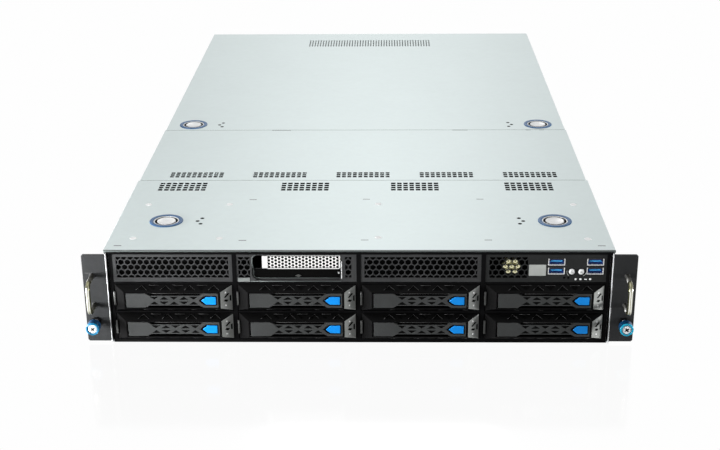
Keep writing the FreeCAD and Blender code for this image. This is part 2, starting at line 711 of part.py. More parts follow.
def io_panel():
    """The control panel: honeycomb at the left, sockets and buttons at the right."""
    cells_left, cells_right, cells_low, cells_high = cell_window(COLUMNS - 1)
    holes = honeycomb(cells_left, cells_left + CONTROL_CELLS_WIDTH, cells_low, cells_high)
    for x, z in usb_places():
        holes.append(socket_outline(x, z, USB_WIDTH, USB_HEIGHT))
    for x, z in button_places():
        points = ring_points(BUTTON_RADIUS + 2 * GAP, ROUND_SIDES, lambda across, up: (x + across, z + up))
        holes.append(points)
    return [panel_pan(COLUMNS - 1, holes)]


def usb_shells():
    """Bright socket shells, open in front and closed behind."""
    pieces = []
    for x, z in usb_places():
        outer = socket_outline(x, z, USB_WIDTH, USB_HEIGHT)
        inner = socket_outline(x, z, USB_WIDTH - 2 * USB_WALL, USB_HEIGHT - 2 * USB_WALL)
        tube = front_sheet(outer, [inner], -USB_PROUD, USB_DEPTH)
        back = front_sheet(outer, [], USB_DEPTH - USB_PROUD, USB_WALL)
        pieces.append(tube.fuse(back).removeSplitter())
    return pieces


def usb_tongues():
    """The coloured tongues that stand in the sockets from their back walls."""
    pieces = []
    for x, z in usb_places():
        top = z + USB_HEIGHT / 2 - USB_WALL - TONGUE_DROP
        pieces.append(box(x - TONGUE_WIDTH / 2, x + TONGUE_WIDTH / 2, TONGUE_SETBACK, USB_DEPTH - USB_PROUD,
                          top - TONGUE_THICK, top))
    return pieces


def panel_button(place):
    """A push button with a square foot behind the panel."""
    x, z = place
    foot_front = PANEL_SHEET + GAP
    head = lying_disc(BUTTON_RADIUS, ROUND_SIDES, x, z, -BUTTON_PROUD, foot_front)
    half = BUTTON_FOOT / 2
    foot = box(x - half, x + half, foot_front, foot_front + BUTTON_FOOT_THICK, z - half, z + half)
    return [head.fuse(foot)]


# Drive carriers

def bezel_frustum(grow_x, grow_z, rise):
    """A block whose four sides slope in from the front plane, closed from six flat faces."""
    share = rise / BEZEL_RISE
    rings = []
    for y, part in ((0, 0), (-rise, share)):
        left = grow_x + part * BEZEL_SLOPE_LEFT
        right = BEZEL_WIDTH - grow_x - part * BEZEL_SLOPE_RIGHT
        low = grow_z + part * BEZEL_SLOPE_HIGH
        rings.append([Vector(x, y, z) for x, z in rectangle(left, right, low, BEZEL_HEIGHT - low)])
    back, front = rings
    loops = [back, front]
    for corner in range(len(back)):
        after = (corner + 1) % len(back)
        loops.append([back[corner], back[after], front[after], front[corner]])
    faces = [Part.Face(Part.makePolygon(loop + loop[:1])) for loop in loops]
    return Part.makeSolid(Part.makeShell(faces))


def carrier_bezel():
    """A sloping moulded frame with a window for the lever, vents above and below and a pivot pin."""
    collar = box(0, BEZEL_WIDTH, 0, BEZEL_COLLAR, 0, BEZEL_HEIGHT)
    hollow = box(BEZEL_SIDE_WALL, BEZEL_WIDTH - BEZEL_SIDE_WALL, 0, BEZEL_COLLAR,
                 BEZEL_TOP_WALL, BEZEL_HEIGHT - BEZEL_TOP_WALL)
    cavity = bezel_frustum(BEZEL_SIDE_WALL, BEZEL_TOP_WALL, BEZEL_RISE - BEZEL_FRONT_WALL)
    window_low = BEZEL_SLOPE_HIGH + BEZEL_LIP
    window = box(BEZEL_SLOPE_LEFT + BEZEL_LIP, BEZEL_WIDTH - BEZEL_SLOPE_RIGHT - BEZEL_LIP,
                 -BEZEL_RISE, 0, window_low, BEZEL_HEIGHT - window_low)
    bezel = bezel_frustum(0, 0, BEZEL_RISE).fuse(collar)
    bezel = bezel.cut(Part.makeCompound([hollow, cavity, window]))
    start = BEZEL_SLOPE_LEFT + BEZEL_VENT_WIDTH
    step = (BEZEL_WIDTH - BEZEL_SLOPE_RIGHT - start) / BEZEL_VENTS
    vents = []
    for vent in range(BEZEL_VENTS):
        middle = start + (vent + 0.5) * step
        tip_y, base_y = -BEZEL_FRONT_WALL, BEZEL_FRONT_WALL + BEZEL_LIP - BEZEL_RISE
        if vent % 2:
            tip_y, base_y = base_y, tip_y
        points = [Vector(middle - BEZEL_VENT_WIDTH / 2, base_y, 0),
                  Vector(middle + BEZEL_VENT_WIDTH / 2, base_y, 0), Vector(middle, tip_y, 0)]
        vents.append(prism(points, Vector(0, 0, BEZEL_HEIGHT)))
    bezel = bezel.cut(Part.makeCompound(vents))
    pin_low = BEZEL_SLOPE_HIGH * -PIVOT_Y / BEZEL_RISE + BEZEL_TOP_WALL / 2
    pin = upright_disc(PIVOT_RADIUS, PIVOT_SIDES, PIVOT_X, PIVOT_Y, pin_low, BEZEL_HEIGHT - pin_low)
    return bezel.fuse(pin)


def carrier_tray():
    """Two guide rails behind the bezel, joined by a low tie behind the drive."""
    left = CARRIER_RAIL_INSET
    right = BEZEL_WIDTH - CARRIER_RAIL_INSET
    left_rail = box(left, left + CARRIER_SHEET, BEZEL_COLLAR, CARRIER_DEPTH, 0, CARRIER_RAIL_HEIGHT)
    right_rail = box(right - CARRIER_SHEET, right, BEZEL_COLLAR, CARRIER_DEPTH, 0, CARRIER_RAIL_HEIGHT)
    tie = box(left, right, CARRIER_DEPTH - CARRIER_SHEET, CARRIER_DEPTH, 0, CARRIER_TIE_HEIGHT)
    return left_rail.multiFuse([right_rail, tie]).removeSplitter()


def lever_outline():
    """The upper half of the lever's outline as (x, height above the middle line)."""
    neck = LEVER_NECK_HEIGHT / 2
    grip_end = LEVER_LEFT + LEVER_GRIP_LENGTH
    head_start = LEVER_RIGHT - LEVER_HEAD_LENGTH
    return [(LEVER_LEFT, LEVER_HALF), (grip_end, LEVER_HALF), (grip_end + LEVER_TAPER, neck),
            (head_start - LEVER_TAPER, neck), (head_start, LEVER_HALF), (LEVER_RIGHT, LEVER_HALF)]


def latch_outline(left_grow, grow):
    """A five-sided outline pointing left, as (x, height), with room added to its tip and sides."""
    half = LATCH_HEIGHT / 2 + grow
    left = LATCH_RIGHT - LATCH_LENGTH - left_grow
    return [(left, 0), (left + LATCH_TIP, -half), (LATCH_RIGHT + grow, -half),
            (LATCH_RIGHT + grow, half), (left + LATCH_TIP, half)]


def lever_windows():
    """Pairs of triangular windows that leave crosses and diamonds in the lever's neck."""
    start = LEVER_LEFT + LEVER_GRIP_LENGTH + LEVER_TAPER
    end = LATCH_RIGHT - LATCH_LENGTH - LATCH_TRAVEL - LATCH_END_GAP
    step = (end - start) / LEVER_WINDOW_PAIRS
    edge = LEVER_NECK_HEIGHT / 2 - LEVER_STRUT
    windows = []
    for pair in range(LEVER_WINDOW_PAIRS):
        middle = start + (pair + 0.5) * step
        base, tip = (edge, LEVER_STRUT) if pair % 2 == 0 else (LEVER_STRUT, edge)
        for side in (-1, 1):
            windows.append([(middle - LEVER_WINDOW_WIDTH / 2, side * base),
                            (middle + LEVER_WINDOW_WIDTH / 2, side * base), (middle, side * tip)])
    return windows


def carrier_lever():
    """The swinging lever: a flat bar with windows, a slot for the latch and a bore for the pin."""
    upper = lever_outline()
    outline = upper + [(x, -z) for x, z in reversed(upper)]
    holes = [latch_outline(LATCH_TRAVEL + LATCH_END_GAP, GAP)] + lever_windows()
    middle = BEZEL_HEIGHT / 2
    raised = [[(x, z + middle) for x, z in loop] for loop in [outline] + holes]
    lever = front_sheet(raised[0], raised[1:], -BEZEL_RISE, LEVER_THICK)
    bore_radius = round_hole(PIVOT_RADIUS, PIVOT_SIDES)
    bore = upright_disc(bore_radius, PIVOT_SIDES, PIVOT_X, PIVOT_Y, 0, BEZEL_HEIGHT)
    return lever.cut(bore)


def carrier_latch():
    """The latch: a five-sided button with a foot behind the lever that keeps it in."""
    middle = BEZEL_HEIGHT / 2
    button = [(x, z + middle) for x, z in latch_outline(0, 0)]
    foot_front = LEVER_BACK + GAP
    head = front_sheet(button, [], -BEZEL_RISE - LATCH_PROUD, foot_front + BEZEL_RISE + LATCH_PROUD)
    half = LATCH_HEIGHT / 2 + LATCH_FOOT_MARGIN
    foot = box(LATCH_RIGHT - LATCH_LENGTH + LATCH_TIP, LATCH_RIGHT + LATCH_FOOT_MARGIN,
               foot_front, foot_front + LATCH_FOOT, middle - half, middle + half)
    return head.fuse(foot).removeSplitter()


def save_carriers():
    """Every carrier with its lever and its latch, row by row from the lower left."""
    bezel, tray, lever, latch = carrier_bezel(), carrier_tray(), carrier_lever(), carrier_latch()
    number = 0
    for row in range(CARRIER_ROWS):
        for column in range(COLUMNS):
            number += 1
            corner = Vector(column_x(column) - BEZEL_WIDTH / 2, 0, row_z(row) + GAP)
            save("drive_carrier_%d" % number, [bezel.translated(corner), tray.translated(corner)])
            save("carrier_lever_%d" % number, [lever.translated(corner)])
            save("carrier_latch_%d" % number, [latch.translated(corner)])


# Inside

def drive_backplane():
    """The board behind the drives with a socket for each one."""
    wide = HALF_CASE - TRAY_SHEET - COVER_SHEET - BACKPLANE_MARGIN
    pieces = [box(-wide, wide, BACKPLANE_Y, BACKPLANE_Y + BOARD_SHEET, TRAY_SHEET, FRAME_TOP)]
    for row in range(CARRIER_ROWS):
        middle = row_z(row) + BAY_HEIGHT / 2
        for column in range(COLUMNS):
            x = column_x(column)
            pieces.append(box(x - SOCKET_WIDTH / 2, x + SOCKET_WIDTH / 2, BACKPLANE_Y - SOCKET_DEPTH, BACKPLANE_Y,
                              middle - SOCKET_HEIGHT / 2, middle + SOCKET_HEIGHT / 2))
    return pieces


def fan_x(fan):
    """The middle of a fan."""
    return (fan - (FANS - 1) / 2) * FAN_PITCH


def fan_frames():
    """Square frames with a round bore, a bar across the back and an axle for the rotor."""
    pieces = []
    half = FAN_SIZE / 2
    for fan in range(FANS):
        x = fan_x(fan)
        bore = ring_points(FAN_BORE, FAN_BORE_SIDES, lambda across, up: (x + across, FAN_HEIGHT + up))
        outline = rectangle(x - half, x + half, FAN_HEIGHT - half, FAN_HEIGHT + half)
        frame = front_sheet(outline, [bore], FAN_Y, FAN_DEPTH)
        back = FAN_Y + FAN_DEPTH
        bar = box(x - FAN_BAR / 2, x + FAN_BAR / 2, back - FAN_BAR_THICK, back,
                  FAN_HEIGHT - half, FAN_HEIGHT + half)
        axle_front = back - FAN_BAR_THICK - FAN_HUB_LENGTH / 2
        axle = lying_disc(FAN_AXLE_RADIUS, FAN_AXLE_SIDES, x, FAN_HEIGHT, axle_front, back - FAN_BAR_THICK)
        pieces.append(frame.multiFuse([bar, axle]).removeSplitter())
    return pieces


def fan_rotor(fan):
    """A hub with a blind bore for the axle and blades set at an angle."""
    x = fan_x(fan)
    back = FAN_Y + FAN_DEPTH - FAN_BAR_THICK - GAP
    front = back - FAN_HUB_LENGTH
    rotor = lying_disc(FAN_HUB_RADIUS, FAN_HUB_SIDES, x, FAN_HEIGHT, front, back)
    tip = FAN_BORE * math.cos(math.pi / FAN_BORE_SIDES) - FAN_TIP_GAP
    root = FAN_HUB_RADIUS / 2
    middle_y = (front + back) / 2
    blades = []
    for blade in range(FAN_BLADES):
        plate = box(-FAN_BLADE_THICK / 2, FAN_BLADE_THICK / 2, -FAN_HUB_LENGTH / 2, FAN_HUB_LENGTH / 2, root, tip)
        plate.rotate(Vector(0, 0, 0), Vector(0, 0, 1), FAN_BLADE_PITCH)
        plate.rotate(Vector(0, 0, 0), Vector(0, 1, 0), 360 * blade / FAN_BLADES)
        plate.translate(Vector(x, middle_y, FAN_HEIGHT))
        blades.append(plate)
    keep = lying_disc(FAN_BORE, FAN_BORE_SIDES, x, FAN_HEIGHT, front, back)
    rotor = rotor.multiFuse([blade.common(keep) for blade in blades])
    bore_front = back - FAN_HUB_LENGTH / 2 - GAP
    bore_radius = round_hole(FAN_AXLE_RADIUS, FAN_AXLE_SIDES)
    bore = lying_disc(bore_radius, FAN_AXLE_SIDES, x, FAN_HEIGHT, bore_front, back)
    return [rotor.cut(bore).removeSplitter()]


def processor_x(processor):
    """The middle of a processor socket, each in the middle of its half of the board."""
    return BOARD_LEFT + BOARD_QUARTER * (1 + 2 * processor)


def memory_x():
    """The middle of every memory slot, in banks on both sides of each processor."""
    places = []
    for processor in (0, 1):
        for side in (-1, 1):
            for slot in range(MEMORY_PER_BANK):
                reach = PROCESSOR_SIZE / 2 + MEMORY_GAP + (slot + 0.5) * MEMORY_PITCH
                places.append(processor_x(processor) + side * reach)
    return places


def memory_front():
    """The front end of the memory slots, centred on the processors."""
    return PROCESSOR_Y + PROCESSOR_SIZE / 2 - MEMORY_LENGTH / 2


def port_places():
    """The rear ports as left edge, width and height, from left to right."""
    places = []
    left = PORT_START
    for width, height in PORT_SIZES:
        places.append((left, width, height))
        left += width + PORT_GAP
    return places


def motherboard():
    """The main board on its standoffs with processor sockets, memory slots and open rear ports."""
    board_end = REAR_FACE - GAP
    pieces = [box(BOARD_LEFT, BOARD_RIGHT, BOARD_START, board_end - PORT_DEPTH / 2, BOARD_LOW, BOARD_TOP)]
    for x in (BOARD_LEFT + STANDOFF_WIDTH, (BOARD_LEFT + BOARD_RIGHT) / 2, BOARD_RIGHT - STANDOFF_WIDTH):
        for y in (BOARD_START + STANDOFF_WIDTH, REAR_FACE - PORT_DEPTH - STANDOFF_WIDTH):
            points = ring_points(STANDOFF_WIDTH / 2, 6, lambda across, up: Vector(x + across, y + up, TRAY_SHEET))
            pieces.append(prism(points, Vector(0, 0, BOARD_STANDOFF)))
    for processor in (0, 1):
        x = processor_x(processor)
        pieces.append(box(x - PROCESSOR_SIZE / 2, x + PROCESSOR_SIZE / 2, PROCESSOR_Y,
                          PROCESSOR_Y + PROCESSOR_SIZE, BOARD_TOP, BOARD_TOP + PROCESSOR_HEIGHT))
    for x in memory_x():
        pieces.append(box(x - MEMORY_SLOT_WIDTH / 2, x + MEMORY_SLOT_WIDTH / 2, memory_front(),
                          memory_front() + MEMORY_LENGTH, BOARD_TOP, BOARD_TOP + MEMORY_SLOT_HEIGHT))
    for left, width, height in port_places():
        outer = rectangle(left, left + width, BOARD_TOP, BOARD_TOP + height)
        inner = rectangle(left + PORT_WALL, left + width - PORT_WALL,
                          BOARD_TOP + PORT_WALL, BOARD_TOP + height - PORT_WALL)
        front = board_end - PORT_DEPTH
        tube = front_sheet(outer, [inner], front + PORT_WALL, PORT_DEPTH - PORT_WALL)
        pieces.append(tube.fuse(front_sheet(outer, [], front, PORT_WALL)).removeSplitter())
    return pieces


def cpu_heatsinks():
    """Finned blocks on the processor sockets, each a comb outline pushed along the air flow."""
    pieces = []
    low = BOARD_TOP + PROCESSOR_HEIGHT
    for processor in (0, 1):
        left = processor_x(processor) - PROCESSOR_SIZE / 2
        step = (PROCESSOR_SIZE - FIN_SHEET) / (HEATSINK_FINS - 1)
        comb = [(left, low)]
        comb.append((left + PROCESSOR_SIZE, low))
        for fin in reversed(range(HEATSINK_FINS)):
            fin_left = left + fin * step
            comb.append((fin_left + FIN_SHEET, low + HEATSINK_HEIGHT))
            comb.append((fin_left, low + HEATSINK_HEIGHT))
            if fin > 0:
                comb.append((fin_left, low + HEATSINK_BASE))
                comb.append((fin_left - step + FIN_SHEET, low + HEATSINK_BASE))
        pieces.append(front_sheet(comb, [], PROCESSOR_Y, PROCESSOR_SIZE))
    return pieces


def memory_modules():
    """Thin upright modules, one on each memory slot."""
    low = BOARD_TOP + MEMORY_SLOT_HEIGHT
    back = memory_front() + MEMORY_LENGTH
    half = MEMORY_SHEET / 2
    return [box(x - half, x + half, memory_front(), back, low, low + MEMORY_HEIGHT) for x in memory_x()]


# Rear

def expansion_x(slot):
    """The middle of an expansion slot."""
    return -HALF_CASE + EXPANSION_MARGIN + (slot + 0.5) * EXPANSION_PITCH


def psu_low(level):
    """The underside of a power supply."""
    return TRAY_SHEET + PSU_GAP + level * (PSU_HEIGHT + PSU_GAP)


def rear_panel():
    """The rear sheet with openings for the supplies, ports, expansion slots and air."""
    holes = [rectangle(PSU_LEFT - PSU_GAP, PSU_RIGHT + PSU_GAP, TRAY_SHEET, psu_low(1) + PSU_HEIGHT + PSU_GAP)]
    for slot in range(EXPANSION_SLOTS):
        x = expansion_x(slot)
        holes.append(rectangle(x - EXPANSION_OPENING / 2, x + EXPANSION_OPENING / 2,
                               EXPANSION_LOW, WALL_TOP - EXPANSION_TOP))
    for left, width, height in port_places():
        holes.append(rectangle(left, left + width, BOARD_TOP, BOARD_TOP + height))
    vents_left = PORT_START
    step = (PSU_LEFT - BOARD_SIDE_GAP - vents_left) / REAR_VENTS
    for vent in range(REAR_VENTS):
        left = vents_left + vent * step
        holes.append(rectangle(left, left + step - REAR_VENT_BAR, REAR_VENT_LOW, REAR_VENT_HIGH))
    return [front_sheet(rectangle(-HALF_CASE, HALF_CASE, 0, WALL_TOP), holes, REAR_FACE, TRAY_SHEET)]


def slot_covers():
    """Blank plates that close the expansion slots from inside."""
    pieces = []
    for slot in range(EXPANSION_SLOTS):
        x = expansion_x(slot)
        half = EXPANSION_COVER / 2
        edge = (EXPANSION_COVER - EXPANSION_OPENING) / 2
        low, high = EXPANSION_LOW - edge, WALL_TOP - EXPANSION_TOP + edge
        pieces.append(box(x - half, x + half, REAR_FACE - EXPANSION_SHEET, REAR_FACE, low, high))
    return pieces


def power_supply(level):
    """A slide-in supply with a mains inlet, vent slots and a bail handle behind."""
    low = psu_low(level)
    back = CASE_DEPTH
    case = box(PSU_LEFT, PSU_RIGHT, back - PSU_DEPTH, back, low, low + PSU_HEIGHT)
    middle = low + PSU_HEIGHT / 2
    inlet_left = PSU_LEFT + INLET_SIDE
    inlet_right = inlet_left + INLET_WIDTH
    inlet_low, inlet_high = middle - INLET_HEIGHT / 2, middle + INLET_HEIGHT / 2
    inlet = [(inlet_left, inlet_low), (inlet_right, inlet_low), (inlet_right, inlet_high - INLET_CORNER),
             (inlet_right - INLET_CORNER, inlet_high), (inlet_left + INLET_CORNER, inlet_high),
             (inlet_left, inlet_high - INLET_CORNER)]
    cutters = [front_sheet(inlet, [], back - INLET_DEPTH, INLET_DEPTH)]
    vent_left, vent_right = inlet_right + INLET_SIDE, PSU_RIGHT - INLET_SIDE
    vent_step = PSU_HEIGHT / PSU_VENTS
    for vent in range(PSU_VENTS):
        vent_middle = low + (vent + 0.5) * vent_step
        cutters.append(box(vent_left, vent_right, back - PSU_VENT_DEPTH, back,
                           vent_middle - PSU_VENT_HEIGHT / 2, vent_middle + PSU_VENT_HEIGHT / 2))
    case = case.cut(Part.makeCompound(cutters))
    handle_right = PSU_RIGHT - PSU_HANDLE_SIDE
    handle_left = handle_right - PSU_HANDLE_WIDTH
    reach = back + PSU_HANDLE_REACH
    bail = [Vector(handle_left, back, 0), Vector(handle_left, reach, 0), Vector(handle_right, reach, 0),
            Vector(handle_right, back, 0), Vector(handle_right - PSU_HANDLE_BAR, back, 0),
            Vector(handle_right - PSU_HANDLE_BAR, reach - PSU_HANDLE_BAR, 0),
            Vector(handle_left + PSU_HANDLE_BAR, reach - PSU_HANDLE_BAR, 0),
            Vector(handle_left + PSU_HANDLE_BAR, back, 0)]
    handle = prism(bail, Vector(0, 0, PSU_HANDLE_HEIGHT))
    handle.translate(Vector(0, 0, middle - PSU_HANDLE_HEIGHT / 2))
    return [case, handle]


os.makedirs("parts", exist_ok=True)
save("chassis_tray", chassis_tray())
save("rear_panel", rear_panel())
save("front_cage", front_cage())
save("rack_ears", rack_ears())
save("rack_handles", rack_handles())
save("left_thumbscrew", thumbscrew(-1))
save("right_thumbscrew", thumbscrew(1))
save("front_cover", front_cover())
save("middle_cover", middle_cover())
save("rear_cover", rear_cover())
save("front_latch_rings", latch_rings(FRONT_LATCH_X, FRONT_LATCH_Y))
save("rear_latch_rings", latch_rings(REAR_LATCH_X, REAR_LATCH_Y))
save("front_left_latch_button", latch_button(-FRONT_LATCH_X, FRONT_LATCH_Y))
save("front_right_latch_button", latch_button(FRONT_LATCH_X, FRONT_LATCH_Y))
save("rear_left_latch_button", latch_button(-REAR_LATCH_X, REAR_LATCH_Y))
save("rear_right_latch_button", latch_button(REAR_LATCH_X, REAR_LATCH_Y))
save("honeycomb_grilles", honeycomb_grilles())
save("slot_panel", slot_panel())
save("slot_blank", slot_blank())
save("io_panel", io_panel())
save("usb_shells", usb_shells())
save("usb_tongues", usb_tongues())
save("power_button", panel_button(button_places()[0]))
save("locate_button", panel_button(button_places()[1]))
save_carriers()
save("drive_backplane", drive_backplane())
save("fan_frames", fan_frames())
for rotor_number in range(FANS):
    save("fan_rotor_%d" % (rotor_number + 1), fan_rotor(rotor_number))
save("motherboard", motherboard())
save("cpu_heatsinks", cpu_heatsinks())
save("memory_modules", memory_modules())
save("slot_covers", slot_covers())
save("power_supply_1", power_supply(0))
save("power_supply_2", power_supply(1))
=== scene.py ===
# %% [markdown]
# # A two-unit rack server
# The solids of this server come from a CAD model: sheet-metal case, covers, drive carriers, fans, board
# and supplies, each on a body that moves. This lesson dresses them for a studio picture. Every new
# surface is worked out with numpy from a formula, and every finish is built from shader nodes.

# %% Load the frame
import json
import math
from collections import namedtuple

import bmesh
import bpy
import numpy as np
from mathutils import Matrix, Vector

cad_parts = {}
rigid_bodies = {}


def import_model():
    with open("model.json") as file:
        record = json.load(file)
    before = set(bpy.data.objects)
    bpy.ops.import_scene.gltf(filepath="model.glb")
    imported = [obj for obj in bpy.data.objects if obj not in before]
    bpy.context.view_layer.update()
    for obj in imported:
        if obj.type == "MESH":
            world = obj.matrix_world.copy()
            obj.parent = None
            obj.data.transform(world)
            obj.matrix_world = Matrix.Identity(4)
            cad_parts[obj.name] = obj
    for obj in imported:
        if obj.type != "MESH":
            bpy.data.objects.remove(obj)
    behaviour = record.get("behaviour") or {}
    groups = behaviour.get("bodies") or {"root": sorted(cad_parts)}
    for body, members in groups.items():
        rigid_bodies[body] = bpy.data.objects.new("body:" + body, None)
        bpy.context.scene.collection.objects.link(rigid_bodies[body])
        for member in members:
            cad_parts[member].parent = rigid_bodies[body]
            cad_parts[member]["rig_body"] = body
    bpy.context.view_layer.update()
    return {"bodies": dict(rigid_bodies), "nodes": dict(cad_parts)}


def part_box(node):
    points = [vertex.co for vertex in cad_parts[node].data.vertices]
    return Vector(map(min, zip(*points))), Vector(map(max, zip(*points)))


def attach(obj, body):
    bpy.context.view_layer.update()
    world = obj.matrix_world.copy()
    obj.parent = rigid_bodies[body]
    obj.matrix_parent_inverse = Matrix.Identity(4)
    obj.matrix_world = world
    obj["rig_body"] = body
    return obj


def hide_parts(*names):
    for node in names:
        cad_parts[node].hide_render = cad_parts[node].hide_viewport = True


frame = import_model()
nodes = frame["nodes"]
bodies = frame["bodies"]
for stray in list(bpy.data.objects):
    if stray.name not in nodes and stray not in list(bodies.values()):
        bpy.data.objects.remove(stray)
scene = bpy.context.scene

# %% [markdown]
# The formulas are easier to read in millimetres, measured from the front plane of the case: x to the
# right, y to the back, z up. The solids sit with the origin under the middle of the whole server, so one
# shift takes a formula's millimetres into the frame's metres.

# %% Millimetres from the front plane
MM = 0.001
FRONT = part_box("chassis_tray")[0].y / MM
HALF_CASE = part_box("chassis_tray")[1].x / MM
CASE_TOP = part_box("middle_cover")[1].z / MM
REAR = 780.0


def extent(node):
    """A solid's lowest and highest corner, in millimetres from the front plane."""
    shift = np.array([0, FRONT, 0])
    low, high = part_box(node)
    return np.array(low) / MM - shift, np.array(high) / MM - shift


print("case", 2 * HALF_CASE, "wide", CASE_TOP, "high", REAR, "deep")

# %% [markdown]
# The camera stands in front of the server, a little above it and slightly to the right of its middle,
# with a long lens. Its matrix is written out from three angles, which is easier to keep exact than
# pointing the camera at a target: forward follows from pitch and yaw, and roll turns the other two axes.

# %% Camera
CAMERA_PLACE = (26.1, -1056.3, 538.6)
CAMERA_PITCH = math.radians(21.97)
CAMERA_YAW = math.radians(-1.33)
CAMERA_ROLL = math.radians(0.5)
FOCAL_PIXELS = 1327.8
PICTURE_WIDTH = 720
SENSOR = 36.0
CLIP_START, CLIP_END = 0.05, 60.0


def axes_matrix(right, up, back, place):
    """The matrix of an object whose own x, y and z axes point right, up and back."""
    matrix = np.eye(4)
    matrix[:3] = np.stack([right, up, back, place], 1)
    return Matrix(matrix.tolist())


def add_camera():
    """The axes are right, up and back; forward = (sin yaw cos pitch, cos yaw cos pitch, -sin pitch)."""
    forward = np.array([math.sin(CAMERA_YAW) * math.cos(CAMERA_PITCH),
                        math.cos(CAMERA_YAW) * math.cos(CAMERA_PITCH), -math.sin(CAMERA_PITCH)])
    level = np.array([math.cos(CAMERA_YAW), -math.sin(CAMERA_YAW), 0])
    down = np.cross(forward, level)
    right = math.cos(CAMERA_ROLL) * level + math.sin(CAMERA_ROLL) * down
    below = math.cos(CAMERA_ROLL) * down - math.sin(CAMERA_ROLL) * level
    place = (np.array(CAMERA_PLACE) + [0, FRONT, 0]) * MM
    camera = bpy.data.objects.new("camera", bpy.data.cameras.new("camera"))
    camera.data.sensor_width = SENSOR
    camera.data.lens = FOCAL_PIXELS * SENSOR / PICTURE_WIDTH
    camera.data.clip_start = CLIP_START
    camera.data.clip_end = CLIP_END
    camera.matrix_world = axes_matrix(right, -below, -forward, place)
    scene.collection.objects.link(camera)
    scene.camera = camera
    print("camera lens", round(camera.data.lens, 2), "mm")


add_camera()

# %% [markdown]
# Every surface below ends in the same way: arrays of points and faces become one mesh object at the
# origin, in metres. A grid of points, rows by columns, gives its faces by index arithmetic, without a
# loop. A grid may close on itself along its columns, and flat caps may close its ends.

# %% Grids into meshes
SAME_POINT = 1e-7
BEVEL_SEGMENTS = 2


def grid(points, wrap=False, caps=False):
    """Faces of a grid of points (rows, columns, 3): each face joins point (i, j) with its neighbours
    (i, j + 1), (i + 1, j + 1) and (i + 1, j). With wrap the last column joins the first, and with caps
    the first and last rows become flat faces."""
    points = np.asarray(points, float)
    rows, columns = points.shape[:2]
    across = np.arange(columns if wrap else columns - 1)
    row_start = np.arange(rows - 1)[:, None] * columns
    start = (row_start + across).ravel()
    beside = (row_start + (across + 1) % columns).ravel()
    faces = np.stack([start, beside, beside + columns, start + columns], 1).tolist()
    if caps:
        faces.append(list(range(columns))[::-1])
        faces.append(list(range((rows - 1) * columns, rows * columns)))
    return points.reshape(-1, 3), faces


def joined(parts):
    """Several (points, faces) pairs as one, by moving each pair's face numbers on."""
    points, faces, count = [], [], 0
    for part_points, part_faces in parts:
        points.append(np.asarray(part_points, float).reshape(-1, 3))
        faces.extend([[corner + count for corner in face] for face in part_faces])
        count += len(points[-1])
    return np.concatenate(points), faces


def copies(part, places):
    """The same (points, faces) pair moved to each of several places."""
    points, faces = part
    return joined([(points + np.asarray(place, float), faces) for place in places])


def piece(name, parts, finish, body="case", smooth=True, replace=()):
    """One mesh object from (points, faces) pairs in millimetres, which rides on a body."""
    points, faces = joined(parts)
    mesh = bpy.data.meshes.new(name)
    mesh.from_pydata((points + [0, FRONT, 0]) * MM, [], faces)
    mesh.validate()
    work = bmesh.new()
    work.from_mesh(mesh)
    bmesh.ops.remove_doubles(work, verts=work.verts, dist=SAME_POINT)
    bmesh.ops.recalc_face_normals(work, faces=work.faces)
    work.to_mesh(mesh)
    work.free()
    if smooth:
        mesh.shade_smooth()
    else:
        mesh.shade_flat()
    made = bpy.data.objects.new(name, mesh)
    scene.collection.objects.link(made)
    mesh.materials.append(finish)
    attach(made, body)
    if replace:
        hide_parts(*replace)


def soften(made, width, angle):
    """A bevel modifier on the edges sharper than an angle, so that they catch the light."""
    bevel = made.modifiers.new("soft edges", "BEVEL")
    bevel.width = width * MM
    bevel.segments = BEVEL_SEGMENTS
    bevel.limit_method = "ANGLE"
    bevel.angle_limit = math.radians(angle)
    bevel.harden_normals = True


print("grid helpers ready")

# %% [markdown]
# Five shapes make most of the small parts. A turned part is a profile of radius and height carried round
# an axis. A rod is a circle carried along a path. A soft block is a box with rounded edges: take the unit
# sphere, push each of its eight octants out to a corner of the box, and the gaps stretch into flat sides.
# A patch is a flat panel between four corners, and a slab is an outline with a thickness.

# %% Turned parts, rods, soft blocks, patches and slabs
OCTANT_SQUARE = 0.2


def turned(profile, centre, axis="z", steps=40, wave=None):
    """A turned part: point (i, j) lies at profile radius i and angle j round the axis, at profile height i.
    A wave is a function of angle and profile share that multiplies the radius, as for grip flutes. A profile
    that comes back to its start is a ring, and gets no end caps."""
    profile = np.asarray(profile, float)
    angle = np.arange(steps) * 2 * np.pi / steps
    radius = np.repeat(profile[:, :1], steps, 1)
    if wave is not None:
        share = np.linspace(0, 1, len(profile))
        radius = radius * wave(angle[None, :], share[:, None])
    height = np.repeat(profile[:, 1:], steps, 1)
    across, along = radius * np.cos(angle), radius * np.sin(angle)
    order = {"z": (across, along, height), "y": (across, height, along), "x": (height, across, along)}[axis]
    open_ends = not np.allclose(profile[0], profile[-1])
    return grid(np.stack(order, 2) + np.asarray(centre, float), wrap=True, caps=open_ends)


